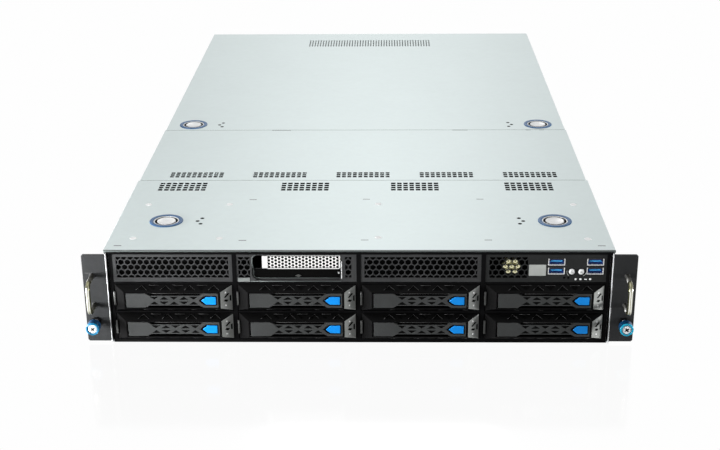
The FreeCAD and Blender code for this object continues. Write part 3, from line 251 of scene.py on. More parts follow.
def rod(path, radius, sides=16):
    """A circle carried along a path: at each path point the circle lies across the mean direction of the
    two runs that meet there. It starts square to the x axis, or to z where the path runs along x."""
    path = np.asarray(path, float)
    runs = np.diff(path, axis=0)
    runs /= np.linalg.norm(runs, axis=1)[:, None]
    heading = np.concatenate([runs[:1], runs[:-1] + runs[1:], runs[-1:]])
    heading /= np.linalg.norm(heading, axis=1)[:, None]
    normal = np.cross(heading, [1.0, 0.0, 0.0])
    flat = np.linalg.norm(normal, axis=1) < 1e-6
    normal[flat] = np.cross(heading[flat], [0.0, 0.0, 1.0])
    normal /= np.linalg.norm(normal, axis=1)[:, None]
    binormal = np.cross(heading, normal)
    angle = (np.arange(sides) * 2 * np.pi / sides)[None, :, None]
    ring = normal[:, None] * np.cos(angle) + binormal[:, None] * np.sin(angle)
    return grid(path[:, None] + radius * ring, wrap=True, caps=True)


def soft_block(low, high, rounding=0.1, turns=1):
    """A box with rounded edges: centre + sign(n) * (half - r) + r * n over unit vectors n, with no n on an
    octant's border, so that the faces between octants become the flat sides."""
    low, high = np.minimum(low, high).astype(float), np.maximum(low, high).astype(float)
    half, centre = (high - low) / 2, (high + low) / 2
    bend = min(rounding, half.min() * 0.98)
    round_angle = (np.arange(4 * turns) + 0.5) * np.pi / (2 * turns)
    rise_angle = ((np.arange(2 * turns) + 0.5) * np.pi / (2 * turns) - np.pi / 2)[:, None]
    n = np.stack([np.cos(rise_angle) * np.cos(round_angle), np.cos(rise_angle) * np.sin(round_angle),
                  np.repeat(np.sin(rise_angle), 4 * turns, 1)], 2)
    n /= np.abs(n).max(axis=2, keepdims=True) ** OCTANT_SQUARE
    return grid(centre + np.sign(n) * (half - bend) + bend * np.clip(n, -1, 1), wrap=True, caps=True)


def patch(a, b, c, d):
    """A panel between four corners that follow each other round its edge."""
    return grid([[a, b], [d, c]])


def slab(outline, front, back):
    """A flat plate: an outline of x and z carried straight from one level of y to another."""
    outline = np.asarray(outline, float)
    ends = [np.insert(outline, 1, level, axis=1) for level in (front, back)]
    return grid(np.stack(ends), wrap=True, caps=True)


print("shape formulas ready")

# %% [markdown]
# The world, the floor and every finish are graphs of shader nodes. One function adds a node and another
# fills its inputs: a plain value is set on the socket itself, and another node's output is linked to it.

# %% Nodes
def feed(tree, node, inputs):
    """Fill a node's inputs, named or numbered, with values or with outputs of other nodes."""
    for socket, value in inputs.items():
        if isinstance(value, bpy.types.NodeSocket):
            tree.links.new(value, node.inputs[socket])
        else:
            node.inputs[socket].default_value = value


def add_node(tree, kind, inputs):
    """A new shader node of a kind, with its inputs filled."""
    node = tree.nodes.new("ShaderNode" + kind)
    feed(tree, node, inputs)
    return node


print("node helpers ready")

# %% [markdown]
# The picture has a white studio. The world is white for the camera and for reflections and much weaker
# as a light. The floor is grey for rays that carry light and plain white for the camera, so no horizon and
# no shadow shows, and a faint mirror layer gives the pale reflection in front.

# %% World and floor
WHITE = (1, 1, 1, 1)
WORLD_LIGHT = 0.22
FLOOR_COLOUR = (0.22, 0.22, 0.22, 1)
FLOOR_MIRROR = 0.045
FLOOR_ROUGHNESS = 0.12
FLOOR_HALF = 9000.0
FLOOR_LEVEL = -0.3


def white_share(tree):
    """One for rays from the camera, a mirror or glass, and nothing for rays that only carry light. A Math
    node adds unless told otherwise."""
    path = add_node(tree, "LightPath", {}).outputs
    seen = add_node(tree, "Math", {0: path["Is Camera Ray"], 1: path["Is Glossy Ray"]})
    share = add_node(tree, "Math", {0: seen.outputs[0], 1: path["Is Transmission Ray"]})
    share.use_clamp = True
    return share.outputs[0]


def add_world():
    """A world that looks white and lights only weakly."""
    world = bpy.data.worlds.new("studio")
    world.use_nodes = True
    tree = world.node_tree
    light = tree.nodes["Background"]
    feed(tree, light, {"Strength": WORLD_LIGHT, "Color": WHITE})
    seen = add_node(tree, "Background", {"Color": WHITE})
    mix = add_node(tree, "MixShader", {"Fac": white_share(tree), 1: light.outputs[0], 2: seen.outputs[0]})
    feed(tree, tree.nodes["World Output"], {"Surface": mix.outputs[0]})
    scene.world = world


def add_floor():
    """A flat grid of four corners just under the case, wide enough to reach past every view."""
    points, faces = grid([[(x, y, FLOOR_LEVEL) for x in (-FLOOR_HALF, FLOOR_HALF)]
                          for y in (-FLOOR_HALF, FLOOR_HALF)])
    mesh = bpy.data.meshes.new("floor")
    mesh.from_pydata(points * MM, [], faces)
    floor = bpy.data.objects.new("floor", mesh)
    scene.collection.objects.link(floor)
    finish = bpy.data.materials.new("floor_white")
    finish.use_nodes = True
    tree = finish.node_tree
    tree.nodes.remove(tree.nodes["Principled BSDF"])
    matte = add_node(tree, "BsdfDiffuse", {"Color": FLOOR_COLOUR})
    glow = add_node(tree, "Emission", {})
    both = add_node(tree, "MixShader", {"Fac": white_share(tree), 1: matte.outputs[0], 2: glow.outputs[0]})
    mirror = add_node(tree, "BsdfGlossy", {"Roughness": FLOOR_ROUGHNESS})
    mix = add_node(tree, "MixShader", {"Fac": FLOOR_MIRROR, 1: both.outputs[0], 2: mirror.outputs[0]})
    feed(tree, tree.nodes["Material Output"], {"Surface": mix.outputs[0]})
    mesh.materials.append(finish)


add_world()
add_floor()
scene.view_settings.view_transform = "Standard"
print("white studio ready")

# %% [markdown]
# Three large lamps above light the covers softly. Two small ones stand low in front: the left one is close
# and grazes the levers, fading across the carriers, and the right one stands further off and picks out the
# slopes that face it. Light that grazes is what shows the shape of black plastic.

# %% Lamps
def add_lamp(name, place, target, size, watts, height=None):
    """A lamp whose -Z axis points from its place to the target, all in metres."""
    lamp = bpy.data.lights.new(name, "AREA")
    lamp.shape = "RECTANGLE"
    lamp.size = size
    lamp.size_y = height or size
    lamp.energy = watts
    made = bpy.data.objects.new(name, lamp)
    back = np.array(place, float) - np.array(target, float)
    back /= np.linalg.norm(back)
    side = np.cross([0.0, 1.0, 0.0] if abs(back[2]) > 0.99 else [0.0, 0.0, 1.0], back)
    side /= np.linalg.norm(side)
    made.matrix_world = axes_matrix(side, np.cross(back, side), back, place)
    scene.collection.objects.link(made)


add_lamp("key_lamp", (-0.5, -0.4, 2.6), (0.0, 0.0, 0.0), 2.6, 32.0)
add_lamp("side_lamp", (2.2, -1.2, 1.4), (0.0, -0.2, 0.05), 1.6, 7.0)
add_lamp("left_lamp", (-0.56, -0.56, 0.06), (-0.05, -0.40, 0.05), 0.3, 11.5, 0.18)
add_lamp("right_lamp", (1.05, -0.51, 0.06), (0.10, -0.39, 0.04), 0.3, 11.0, 0.12)
add_lamp("back_lamp", (0.0, 2.4, 1.7), (0.0, 0.0, 0.05), 0.7, 13.0)
print("five lamps")

# %% [markdown]
# Finishes come from noise read in Object coordinates, in metres, so a grain of one millimetre has a scale
# near 1000. Most finishes have broad patches in the colour, a fine grain in the roughness, and the same
# grain as a shallow bump. Values that are the same all over are set straight on the shader's sockets.

# %% Node helpers for finishes
NOISE_ROUGHNESS = 0.55


def start_finish(name, metallic=0.0, specular=0.5):
    """A new material with its node tree, its shader and its Object coordinates."""
    finish = bpy.data.materials.new(name)
    finish.use_nodes = True
    tree = finish.node_tree
    shader = tree.nodes["Principled BSDF"]
    feed(tree, shader, {"Metallic": metallic, "Specular IOR Level": specular})
    return finish, tree, shader, add_node(tree, "TexCoord", {}).outputs["Object"]


def stretched(tree, source, scale):
    """Coordinates squeezed along some axes, for brushed or drawn patterns."""
    return add_node(tree, "Mapping", {"Vector": source, "Scale": scale}).outputs["Vector"]


def noise(tree, source, size_mm, detail=3.0):
    """Noise whose blobs are about the given size."""
    inputs = {"Vector": source, "Scale": 1 / (size_mm * MM), "Detail": detail, "Roughness": NOISE_ROUGHNESS}
    return add_node(tree, "TexNoise", inputs).outputs["Fac"]


def flakes(tree, source, size_mm):
    """A grey value for each cell of a Voronoi pattern, as for zinc flowers or speckles."""
    cells = add_node(tree, "TexVoronoi", {"Vector": source, "Scale": 1 / (size_mm * MM)})
    return add_node(tree, "SeparateColor", {"Color": cells.outputs["Color"]}).outputs["Red"]


def spread(tree, value, low, high, start=0.3, end=0.7):
    """A value stretched from the range start to end onto the range low to high."""
    inputs = {"Value": value, "From Min": start, "From Max": end, "To Min": low, "To Max": high}
    return add_node(tree, "MapRange", inputs).outputs["Result"]


def ramp(tree, value, bands):
    """A colour that runs through bands of place and colour as the value grows."""
    node = add_node(tree, "ValToRGB", {"Fac": value})
    while len(node.color_ramp.elements) < len(bands):
        node.color_ramp.elements.new(0.5)
    for element, (place, colour) in zip(node.color_ramp.elements, bands):
        element.position = place
        element.color = (*colour, 1)
    return node.outputs["Color"]


def blend(tree, share, first, second):
    """Two colours mixed by a share. All three are plain values or come from other nodes."""
    node = tree.nodes.new("ShaderNodeMix")
    node.data_type = "RGBA"
    first, second = [(*colour, 1) if isinstance(colour, tuple) else colour for colour in (first, second)]
    feed(tree, node, {"Factor": share, 6: first, 7: second})
    return node.outputs[2]


def mean_value(tree, first, second):
    """The mean of two values."""
    return add_node(tree, "Mix", {"Factor": 0.5, 2: first, 3: second}).outputs[0]


def relief(tree, shader, value, depth_mm, strength):
    """A bump from a value: the surface seems to rise by the depth where the value is one."""
    bump = add_node(tree, "Bump", {"Distance": depth_mm * MM, "Strength": strength, "Height": value})
    feed(tree, shader, {"Normal": bump.outputs["Normal"]})


def tinted(tree, value, colour, swing, start=0.3, end=0.7):
    """A colour that swings between a darker and a lighter tint of itself."""
    dark = tuple(c * (1 - swing) for c in colour)
    light = tuple(min(1.0, c * (1 + swing)) for c in colour)
    return ramp(tree, value, [(start, dark), (end, light)])


print("finish helpers ready")

# %% [markdown]
# Zinc-coated sheet shows faint flowers of a few millimetres, cloudy patches and a soft satin. The covers
# are the palest sheet, almost matte with a cool tint. The case floor and rear panel are the same sheet,
# left a little darker and shinier.

# %% Sheet metal finishes
CLOUD_MM, FINE_MM = 60, 0.5
FLOWER_SHARE, FLOWER_SWING = 0.4, 1.6
SHEET_SPECULAR, SHEET_RELIEF = 0.4, 0.25


def zinc_sheet(name, colour, metallic, rough, flower_mm, swing, depth_mm, gloss=0.06):
    """Clouds and flowers in the colour, and a gloss that follows the flowers and a fine grain."""
    finish, tree, shader, at = start_finish(name, metallic, SHEET_SPECULAR)
    clouds = noise(tree, at, CLOUD_MM, 4.0)
    flower = flakes(tree, at, flower_mm)
    fine = noise(tree, at, FINE_MM, 2.0)
    base = tinted(tree, clouds, colour, swing)
    lit = tinted(tree, flower, colour, swing * FLOWER_SWING, 0.0, 1.0)
    satin = spread(tree, mean_value(tree, flower, fine), rough - gloss, rough + gloss, 0.2, 0.8)
    feed(tree, shader, {"Base Color": blend(tree, FLOWER_SHARE, base, lit), "Roughness": satin})
    relief(tree, shader, fine, depth_mm, SHEET_RELIEF)
    return finish


COVER_TINT = (0.585, 0.657, 0.655)
ZINC_TINT = (0.52, 0.545, 0.55)
cover_steel = zinc_sheet("cover_steel_pale_zinc", COVER_TINT, 0.25, 0.48, 6.0, 0.02, 0.006, 0.012)
galvanised = zinc_sheet("galvanised_steel_flowers", ZINC_TINT, 0.55, 0.42, 9.0, 0.12, 0.02)
bright_steel = zinc_sheet("bright_steel_plated", (0.72, 0.73, 0.73), 0.8, 0.28, 1.5, 0.05, 0.005)
print("sheet metal:", cover_steel.name, galvanised.name, bright_steel.name)

# %% [markdown]
# Powder coat is a skin of tiny orange-peel bumps, half a millimetre across. Moulded plastic is finer, with
# a speckle from the mould and a slightly uneven gloss. Both are made by one function: grain size, depth
# and gloss tell them apart.

# %% Coated steel and moulded plastic
BROAD_MM = 25
SPECK_SHARE, SPECK_SIZE = 0.35, 1.3
GLOSS_SWING, GRAIN_RELIEF = 0.07, 0.5


def grained(name, colour, rough, grain_mm, depth_mm, swing=0.18, specular=0.35):
    """Broad patches and specks in the colour, and a grain in the gloss and the surface."""
    finish, tree, shader, at = start_finish(name, 0.0, specular)
    grain = noise(tree, at, grain_mm, 2.0)
    broad = tinted(tree, noise(tree, at, BROAD_MM), colour, swing)
    speck = tinted(tree, flakes(tree, at, grain_mm * SPECK_SIZE), colour, swing, 0.1, 0.9)
    gloss = spread(tree, grain, rough - GLOSS_SWING, rough + GLOSS_SWING)
    feed(tree, shader, {"Base Color": blend(tree, SPECK_SHARE, broad, speck), "Roughness": gloss})
    relief(tree, shader, grain, depth_mm, GRAIN_RELIEF)
    return finish


black_steel = grained("black_steel_powder_coat", (0.003, 0.003, 0.0033), 0.5, 0.5, 0.04, 0.18, 0.03)
ear_steel = grained("ear_steel_dark_coat", (0.0225, 0.0235, 0.0245), 0.48, 0.6, 0.05, 0.2, 0.12)
grille_plastic = grained("grille_plastic_satin", (0.042, 0.043, 0.044), 0.42, 0.4, 0.02, 0.18, 0.10)
io_plastic = grained("port_panel_dark", (0.020, 0.021, 0.021), 0.42, 0.4, 0.02, 0.18, 0.10)
black_plastic = grained("black_plastic_moulded", (0.002, 0.002, 0.0021), 0.52, 0.35, 0.02, 0.18, 0.04)
lever_plastic = grained("lever_plastic_grey", (0.044, 0.046, 0.046), 0.44, 0.35, 0.02, 0.18, 0.10)
blue_plastic = grained("blue_plastic_bright", (0.0, 0.24, 0.74), 0.36, 0.3, 0.01, 0.06, 0.3)
ring_blue = grained("ring_blue_dull", (0.030, 0.105, 0.235), 0.42, 0.4, 0.015, 0.10, 0.3)
button_plastic = grained("button_plastic_white", (0.88, 0.89, 0.89), 0.34, 0.4, 0.01, 0.05, 0.5)
dimple_white = grained("label_paper_bare", (0.96, 0.97, 0.97), 0.6, 0.25, 0.01, 0.04, 0.3)
panel_grey = grained("light_panel_grey", (0.44, 0.46, 0.44), 0.4, 0.4, 0.01, 0.10, 0.45)
deep_black = grained("deep_black_recess", (0.002, 0.002, 0.002), 0.8, 0.5, 0.02, 0.2, 0.03)
socket_plastic = grained("socket_plastic_black", (0.02, 0.02, 0.022), 0.4, 0.3, 0.01)
socket_painted_shade_navy = grained("socket_tongue_navy", (0.004, 0.025, 0.14), 0.38, 0.3, 0.01, 0.08, 0.2)
tongue_edge_painted_highlight = grained("socket_edge_blue", (0.07, 0.46, 1.0), 0.38, 0.3, 0.01, 0.08, 0.3)
facet_grey = grained("carrier_facet_grey", (0.26, 0.27, 0.26), 0.42, 0.5, 0.02, 0.14, 0.2)
rib_painted_highlight = grained("carrier_rib_grey", (0.042, 0.042, 0.042), 0.4, 0.3, 0.01, 0.12, 0.1)
knob_painted_shade_blue = grained("knob_blue_anodised", (0.0, 0.03, 0.09), 0.30, 0.3, 0.01, 0.08, 0.3)
edge_metal_and_highlight_white = grained("screw_plating_pale", (0.62, 0.63, 0.64), 0.28, 0.3, 0.01, 0.05, 0.6)
tab_grey = grained("spring_tab_grey", (0.05, 0.052, 0.05), 0.35, 0.4, 0.01, 0.12, 0.4)
# A dark grey used as painted shade on the cover's front hem and between the rear vent's holes, and as painted
# highlight on the bay's edges.
shade_and_highlight_grey = grained("cover_hem_grey", (0.10, 0.115, 0.112), 0.45, 0.5, 0.02, 0.10, 0.15)
tag_grey = grained("tag_label_grey", (0.19, 0.205, 0.20), 0.5, 0.4, 0.01, 0.10, 0.2)
screen_grey = grained("vent_screen_grey", (0.20, 0.215, 0.215), 0.6, 0.5, 0.02, 0.15, 0.15)
print("coats and plastics ready")

# %% [markdown]
# A few finishes have a pattern of their own. Polished plating keeps fine scratches along its length, over
# bands of painted reflection and painted shade at its bends.
# A circuit board is dark green laminate with fine copper runs under the lacquer. Heat-sink aluminium is
# brushed in one direction. Brass is warm and slightly blotchy.

# %% Plating, laminate, aluminium and brass
LINE_MM, LINE_DEPTH_MM = 0.4, 0.005
PLATING_METALLIC, SCRATCH_SHARE = 0.85, 0.12
BEND_START, BEND_END, BEND_SHARE = 0.12, 0.6, 0.9
ALONG_Z = (1.0, 1.0, 0.05)
EVEN = (1.0, 1.0, 1.0)
SCRATCH_TINT = (0.3, 0.29, 0.2)
LACQUER = (0.006, 0.04, 0.02)
BOARD_CELLS = {"Scale": 120.0, "Mortar Size": 0.03, "Color1": (0.006, 0.035, 0.018, 1),
               "Color2": (0.008, 0.045, 0.022, 1), "Mortar": (0.03, 0.11, 0.05, 1)}


def brushed(name, colour, rough, stretch, metallic=1.0, swing=0.08):
    """Metal with noise in its gloss and colour, either even or stretched along one axis."""
    finish, tree, shader, at = start_finish(name, metallic)
    lines = noise(tree, stretched(tree, at, stretch), LINE_MM)
    feed(tree, shader, {"Base Color": tinted(tree, lines, colour, swing),
                        "Roughness": spread(tree, lines, rough - 0.05, rough + 0.08)})
    relief(tree, shader, lines, LINE_DEPTH_MM, 0.3)
    return finish


def laminate(name):
    """Board lacquer: a dark green base with thin lighter runs, which are the joints of a brick pattern."""
    finish, tree, shader, at = start_finish(name)
    cells = add_node(tree, "TexBrick", {"Vector": at, **BOARD_CELLS})
    broad = noise(tree, at, 12, 4.0)
    feed(tree, shader, {"Base Color": blend(tree, broad, cells.outputs["Color"], LACQUER),
                        "Roughness": spread(tree, broad, 0.3, 0.45)})
    relief(tree, shader, cells.outputs["Fac"], 0.03, 0.4)
    return finish


def painted_reflection_plating(name, bands, rough, bend=None):
    """Plating with a painted reflection: bands of colour follow the x part of the surface's own direction, as
    if it mirrored a striped room. A bend colour, painted shade, shows where the surface turns up or down."""
    finish, tree, shader, at = start_finish(name, PLATING_METALLIC)
    facing = add_node(tree, "SeparateXYZ", {"Vector": at.node.outputs["Normal"]}).outputs
    tone = ramp(tree, spread(tree, facing["X"], 0.0, 1.0, -1.0, 1.0), bands)
    if bend:
        steep = add_node(tree, "Math", {0: facing["Z"]})
        steep.operation = "ABSOLUTE"
        share = spread(tree, steep.outputs[0], 0.0, BEND_SHARE, BEND_START, BEND_END)
        tone = blend(tree, share, tone, bend)
    scratch = noise(tree, stretched(tree, at, ALONG_Z), LINE_MM)
    share = spread(tree, scratch, 0.0, SCRATCH_SHARE)
    feed(tree, shader, {"Base Color": blend(tree, share, tone, SCRATCH_TINT),
                        "Roughness": spread(tree, scratch, rough - 0.04, rough + 0.06)})
    return finish


def grey(value):
    """A colour without a tint."""
    return (value, value, value)


# Painted reflection: pale and olive stripes across the handle bar, and a darker olive painted shade at its
# bends.
OLIVE_DARK, OLIVE, PALE = (0.09, 0.09, 0.035), (0.30, 0.29, 0.16), (0.95, 0.95, 0.90)
CHROME_PAINTED_REFLECTION = [(0.0, OLIVE_DARK), (0.16, OLIVE_DARK), (0.25, PALE), (0.37, PALE), (0.45, OLIVE),
                (0.53, OLIVE), (0.61, PALE), (0.75, PALE), (0.86, OLIVE_DARK)]
CHROME_BEND_PAINTED_SHADE = (0.10, 0.095, 0.04)
# Painted highlight: a light streak on the left-facing side of the dark legs.
LEG_PAINTED_STREAK = [(0.0, grey(0.02)), (0.10, grey(0.2)), (0.22, grey(0.14)), (0.34, grey(0.035)),
             (1.0, grey(0.012))]
handle_chrome = painted_reflection_plating("handle_chrome_polished", CHROME_PAINTED_REFLECTION, 0.10, CHROME_BEND_PAINTED_SHADE)
leg_painted_streak_plating = painted_reflection_plating("leg_dark_plating", LEG_PAINTED_STREAK, 0.5)
plate_white = brushed("plate_white_plating", (0.97, 0.97, 0.96), 0.25, EVEN, 0.9, 0.02)
heatsink_aluminium = brushed("heatsink_aluminium_brushed", (0.62, 0.63, 0.64), 0.35, (1.0, 0.05, 1.0))
brass = brushed("brass_warm", (0.96, 0.90, 0.60), 0.36, (1.0, 0.2, 1.0), 0.8, 0.1)
slit_shade_steel = brushed("screw_steel_dark", (0.10, 0.10, 0.105), 0.4, EVEN, 0.6, 0.2)
circuit_board = laminate("circuit_board_lacquer")
print("plating, laminate, aluminium and brass ready")

# %% [markdown]
# The CAD solids keep their shapes, and each one gets the finish of its material slot. A real sheet or
# moulding never has a knife edge, though, and the light on a rounded edge is what tells the eye that a
# part is real. So the solids that show most are copied, their loose triangles merged into flat faces,
# and a small bevel is put on the sharp edges of the copy, which then stands for the solid.

# %% Finishes for the solids, and copies with soft edges
SLOT_FINISH = {
    "galvanised_steel": galvanised, "cover_steel": cover_steel, "black_steel": black_steel,
    "ear_steel": ear_steel, "handle_chrome": handle_chrome, "grille_plastic": grille_plastic,
    "black_plastic": black_plastic, "lever_plastic": lever_plastic, "blue_plastic": blue_plastic,
    "ring_blue": ring_blue, "button_plastic": button_plastic, "bright_steel": bright_steel,
    "circuit_board": circuit_board, "heatsink_aluminium": heatsink_aluminium,
}
NODE_SLOT = {name: solid.data.materials[0].name.split(".")[0] for name, solid in nodes.items()}
MERGE_DISTANCE = 1e-6
FLAT_ANGLE = math.radians(0.4)
for node_name, solid in nodes.items():
    solid.data.materials[0] = SLOT_FINISH[NODE_SLOT[node_name]]


def soft_edged(node, width, finish, angle):
    """A copy of a solid: equal points merged, triangles in one plane joined, and edges sharper than the
    angle rounded by a bevel of the given width."""
    source = nodes[node].data
    points = np.zeros(len(source.vertices) * 3)
    source.vertices.foreach_get("co", points)
    corners = np.zeros(len(source.loops), int)
    source.loops.foreach_get("vertex_index", corners)
    mesh = bpy.data.meshes.new(node + "_soft")
    mesh.from_pydata(points.reshape(-1, 3), [], corners.reshape(-1, 3).tolist())
    work = bmesh.new()
    work.from_mesh(mesh)
    bmesh.ops.remove_doubles(work, verts=work.verts, dist=MERGE_DISTANCE)
    bmesh.ops.dissolve_limit(work, angle_limit=FLAT_ANGLE, verts=work.verts, edges=work.edges)
    work.to_mesh(mesh)
    work.free()
    mesh.shade_smooth()
    mesh.materials.append(finish)
    made = bpy.data.objects.new(node + "_soft", mesh)
    scene.collection.objects.link(made)
    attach(made, nodes[node]["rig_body"])
    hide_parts(node)
    soften(made, width, angle)


CARRIERS = range(1, 9)
EDGE_WIDTHS = {"front_cover": 0.25, "middle_cover": 0.25, "rear_cover": 0.25, "chassis_tray": 0.3,
               "rack_ears": 0.5, "front_cage": 0.3, "slot_panel": 0.25, "io_panel": 0.2,
               "honeycomb_grilles": 0.2, "slot_covers": 0.2, "rear_panel": 0.2, "usb_shells": 0.12,
               "power_supply_1": 0.5, "power_supply_2": 0.5}
for number in CARRIERS:
    EDGE_WIDTHS["drive_carrier_%d" % number] = 0.3
    EDGE_WIDTHS["carrier_lever_%d" % number] = 0.16
    EDGE_WIDTHS["carrier_latch_%d" % number] = 0.45
OWN_FINISH = {"io_panel": io_plastic}
USUAL_ANGLE = 30
EDGE_ANGLE = {"rack_ears": 60}
for node_name, width in EDGE_WIDTHS.items():
    finish = OWN_FINISH.get(node_name, SLOT_FINISH[NODE_SLOT[node_name]])
    soft_edged(node_name, width, finish, EDGE_ANGLE.get(node_name, USUAL_ANGLE))
print(len(EDGE_WIDTHS), "solids with soft edges")

# %% [markdown]
# The air vents in the covers are fields of small holes. The CAD sheet has long slots, one for each row, and
# the thin bars between the columns are laid across them here: bars just under the sheet's top surface, so
# that they vanish inside the metal and show only in the slots. Dark walls and a dark sheet underneath are
# painted shade that keeps the square holes black. The rear vent has narrow holes over a grey screen, and dark
# grey bridges painted on the metal between its rows, as painted shade, join them into long slits.

# %% Cross bars of the vents
Vent = namedtuple("Vent", "width start rows pitch slot columns hole")
FRONT_VENT = Vent(46.2, 150.0, 4, 5.9, 4.3, 8, 4.3)
MIDDLE_VENT = Vent(54.0, 187.5, 3, 5.4, 4.0, 10, 3.8)
REAR_VENT = Vent(164.0, 710.0, 3, 12.2, 10.0, 46, 1.2)
FRONT_GROUPS = (-175.5, -55.5, 51.7, 162.7)
MIDDLE_GROUPS = 83.3 * np.arange(-2, 3)
MIDDLE_INSET = 1.1
BAR_TOP, BAR_LOW, BAR_PAST = CASE_TOP - 0.06, CASE_TOP - 0.9, 0.4
BRIDGE_HALF = 1.25


def vent_end(vent):
    """Where a vent's last row of holes ends."""
    return vent.start + (vent.rows - 1) * vent.pitch + vent.slot


def bar_block(vent, left, right):
    """A bar across all rows of a vent, a little longer than the rows."""
    return soft_block((left, vent.start - BAR_PAST, BAR_LOW),
                      (right, vent_end(vent) + BAR_PAST, BAR_TOP), 0.15)


def vent_bars(vent, centre, inset=0.0):
    """Bars between columns of holes: bar k starts at left + k hole + (k - 1) bar. The inset moves the left
    side of the first column in."""
    left = centre - vent.width / 2 + inset
    bar = (vent.width - inset - vent.columns * vent.hole) / (vent.columns - 1)
    starts = left + np.arange(1, vent.columns) * vent.hole + np.arange(vent.columns - 1) * bar
    return copies(bar_block(vent, 0, bar), np.stack([starts, 0 * starts, 0 * starts], 1))


def vent_shadows(vent, centre):
    """A dark strip on the back wall of each row of holes, and a thin dark sheet under the whole field."""
    left, right = centre - vent.width / 2, centre + vent.width / 2
    ends = [vent.start + row * vent.pitch + vent.slot for row in range(vent.rows)]
    shadows = [soft_block((left + 0.05, end - 0.14, CASE_TOP - 0.95),
                          (right - 0.05, end - 0.02, CASE_TOP - 0.1), 0.05) for end in ends]
    shadows.append(soft_block((left - 1.0, vent.start - 1.0, CASE_TOP - 1.2),
                              (right + 1.0, ends[-1] + 1.0, CASE_TOP - 1.04), 0.05))
    return joined(shadows)


def rear_slit_painted_shade():
    """Painted shade: dark patches on the metal between two rows of the rear vent, one in line with each hole,
    so that the holes read as long slits.
    """
    block = soft_block((0, -BRIDGE_HALF, CASE_TOP - 0.3), (REAR_VENT.hole, BRIDGE_HALF, CASE_TOP + 0.03))
    x = np.linspace(-REAR_VENT.width / 2, REAR_VENT.width / 2 - REAR_VENT.hole, REAR_VENT.columns)
    gap = REAR_VENT.pitch - REAR_VENT.slot
    middles = [REAR_VENT.start + REAR_VENT.pitch * row - gap / 2 for row in range(1, REAR_VENT.rows)]
    return [copies(block, np.stack([x, y + 0 * x, 0 * x], 1)) for y in middles]


middle_bars = [vent_bars(MIDDLE_VENT, centre, MIDDLE_INSET) for centre in MIDDLE_GROUPS]
for centre in MIDDLE_GROUPS:
    left = centre - MIDDLE_VENT.width / 2
    middle_bars.append(bar_block(MIDDLE_VENT, left - 0.3, left + MIDDLE_INSET))
front_shadows = [vent_shadows(FRONT_VENT, centre) for centre in FRONT_GROUPS]
middle_shadows = [vent_shadows(MIDDLE_VENT, centre) for centre in MIDDLE_GROUPS]
piece("front_vent_shadows", front_shadows, deep_black, "front_cover", False)
piece("middle_vent_shadows", middle_shadows, deep_black, "case", False)
piece("rear_vent_bridges", rear_slit_painted_shade(), shade_and_highlight_grey, "rear_cover", False)
front_bars = [vent_bars(FRONT_VENT, centre) for centre in FRONT_GROUPS]
piece("front_vent_bars", front_bars, cover_steel, "front_cover", False)
piece("middle_vent_bars", middle_bars, cover_steel, "case", False)
piece("rear_vent_bars", [vent_bars(REAR_VENT, 0.0)], cover_steel, "rear_cover", False)
screen = soft_block((-84.0, 708.0, CASE_TOP - 2.0), (84.0, 746.0, CASE_TOP - 1.2), 0.2, 2)
piece("rear_vent_screen", [screen], screen_grey, "rear_cover", False)
print("vent groups", len(FRONT_GROUPS), len(MIDDLE_GROUPS), 1)

# %% [markdown]
# Each lift-off cover has two push latches. A dull blue ring lies round a pale ring, and inside a thin dark
# gap, filled with a black ring of painted shade, sits a dished white button. All are turned parts, drawn as
# profiles of radius and height. The profiles have short steps at their corners, so the shading turns quickly
# there and the edges look moulded.

# %% Latch rings and buttons
RING_PROFILE = [(11.75, 0.0), (11.8, 0.55), (12.0, 0.72), (12.4, 0.78), (14.7, 0.78), (15.1, 0.7),
                (15.3, 0.5), (15.35, 0.0)]
PALE_PROFILE = [(10.65, -0.6), (10.7, 0.3), (10.8, 0.45), (11.0, 0.5), (11.4, 0.5), (11.6, 0.42), (11.7, 0.0)]
BUTTON_PROFILE = [(0.01, -0.3), (3.0, -0.22), (5.5, 0.05), (7.2, 0.38), (7.7, 0.5), (8.1, 0.5), (8.35, 0.4),
                  (8.5, 0.1), (8.55, -0.4), (8.55, -1.2)]
GAP_SHADE_PROFILE = [(8.6, -0.9), (8.65, -0.1), (9.1, 0.08), (10.1, 0.08), (10.5, -0.1), (10.55, -0.9)]
LATCHES = {"front_left": (-177.5, 70.0), "front_right": (177.5, 70.0),
           "rear_left": (-192.0, 360.0), "rear_right": (192.0, 360.0)}
BUTTON_FOOT = 1.3


def ring_skin(profile, place, steps):
    """A ring turned from the profile of its skin, closed underneath by going back along the seat."""
    return turned(profile + profile[:1], place, steps=steps)


for end in ("front", "rear"):
    places = [(x, y, CASE_TOP) for name, (x, y) in LATCHES.items() if name.startswith(end)]
    rings = [ring_skin(RING_PROFILE, place, 72) for place in places]
    piece(end + "_blue_rings", rings, ring_blue, end + "_cover", replace=[end + "_latch_rings"])
    rings = [ring_skin(PALE_PROFILE, place, 72) for place in places]
    piece(end + "_pale_rings", rings, button_plastic, end + "_cover")
for name, (x, y) in LATCHES.items():
    body = name + "_latch_button"
    low, high = extent(body)
    head = turned(BUTTON_PROFILE, (x, y, CASE_TOP), steps=64)
    foot = soft_block(low, (high[0], high[1], CASE_TOP - BUTTON_FOOT), 0.5, 2)
    # The black ring between button and pale ring is painted shade in the gap.
    piece(name + "_seal", [ring_skin(GAP_SHADE_PROFILE, (x, y, CASE_TOP), 64)], deep_black, body)
    piece(name + "_push", [head, foot], button_plastic, body, replace=[body])
print("latches", len(LATCHES))
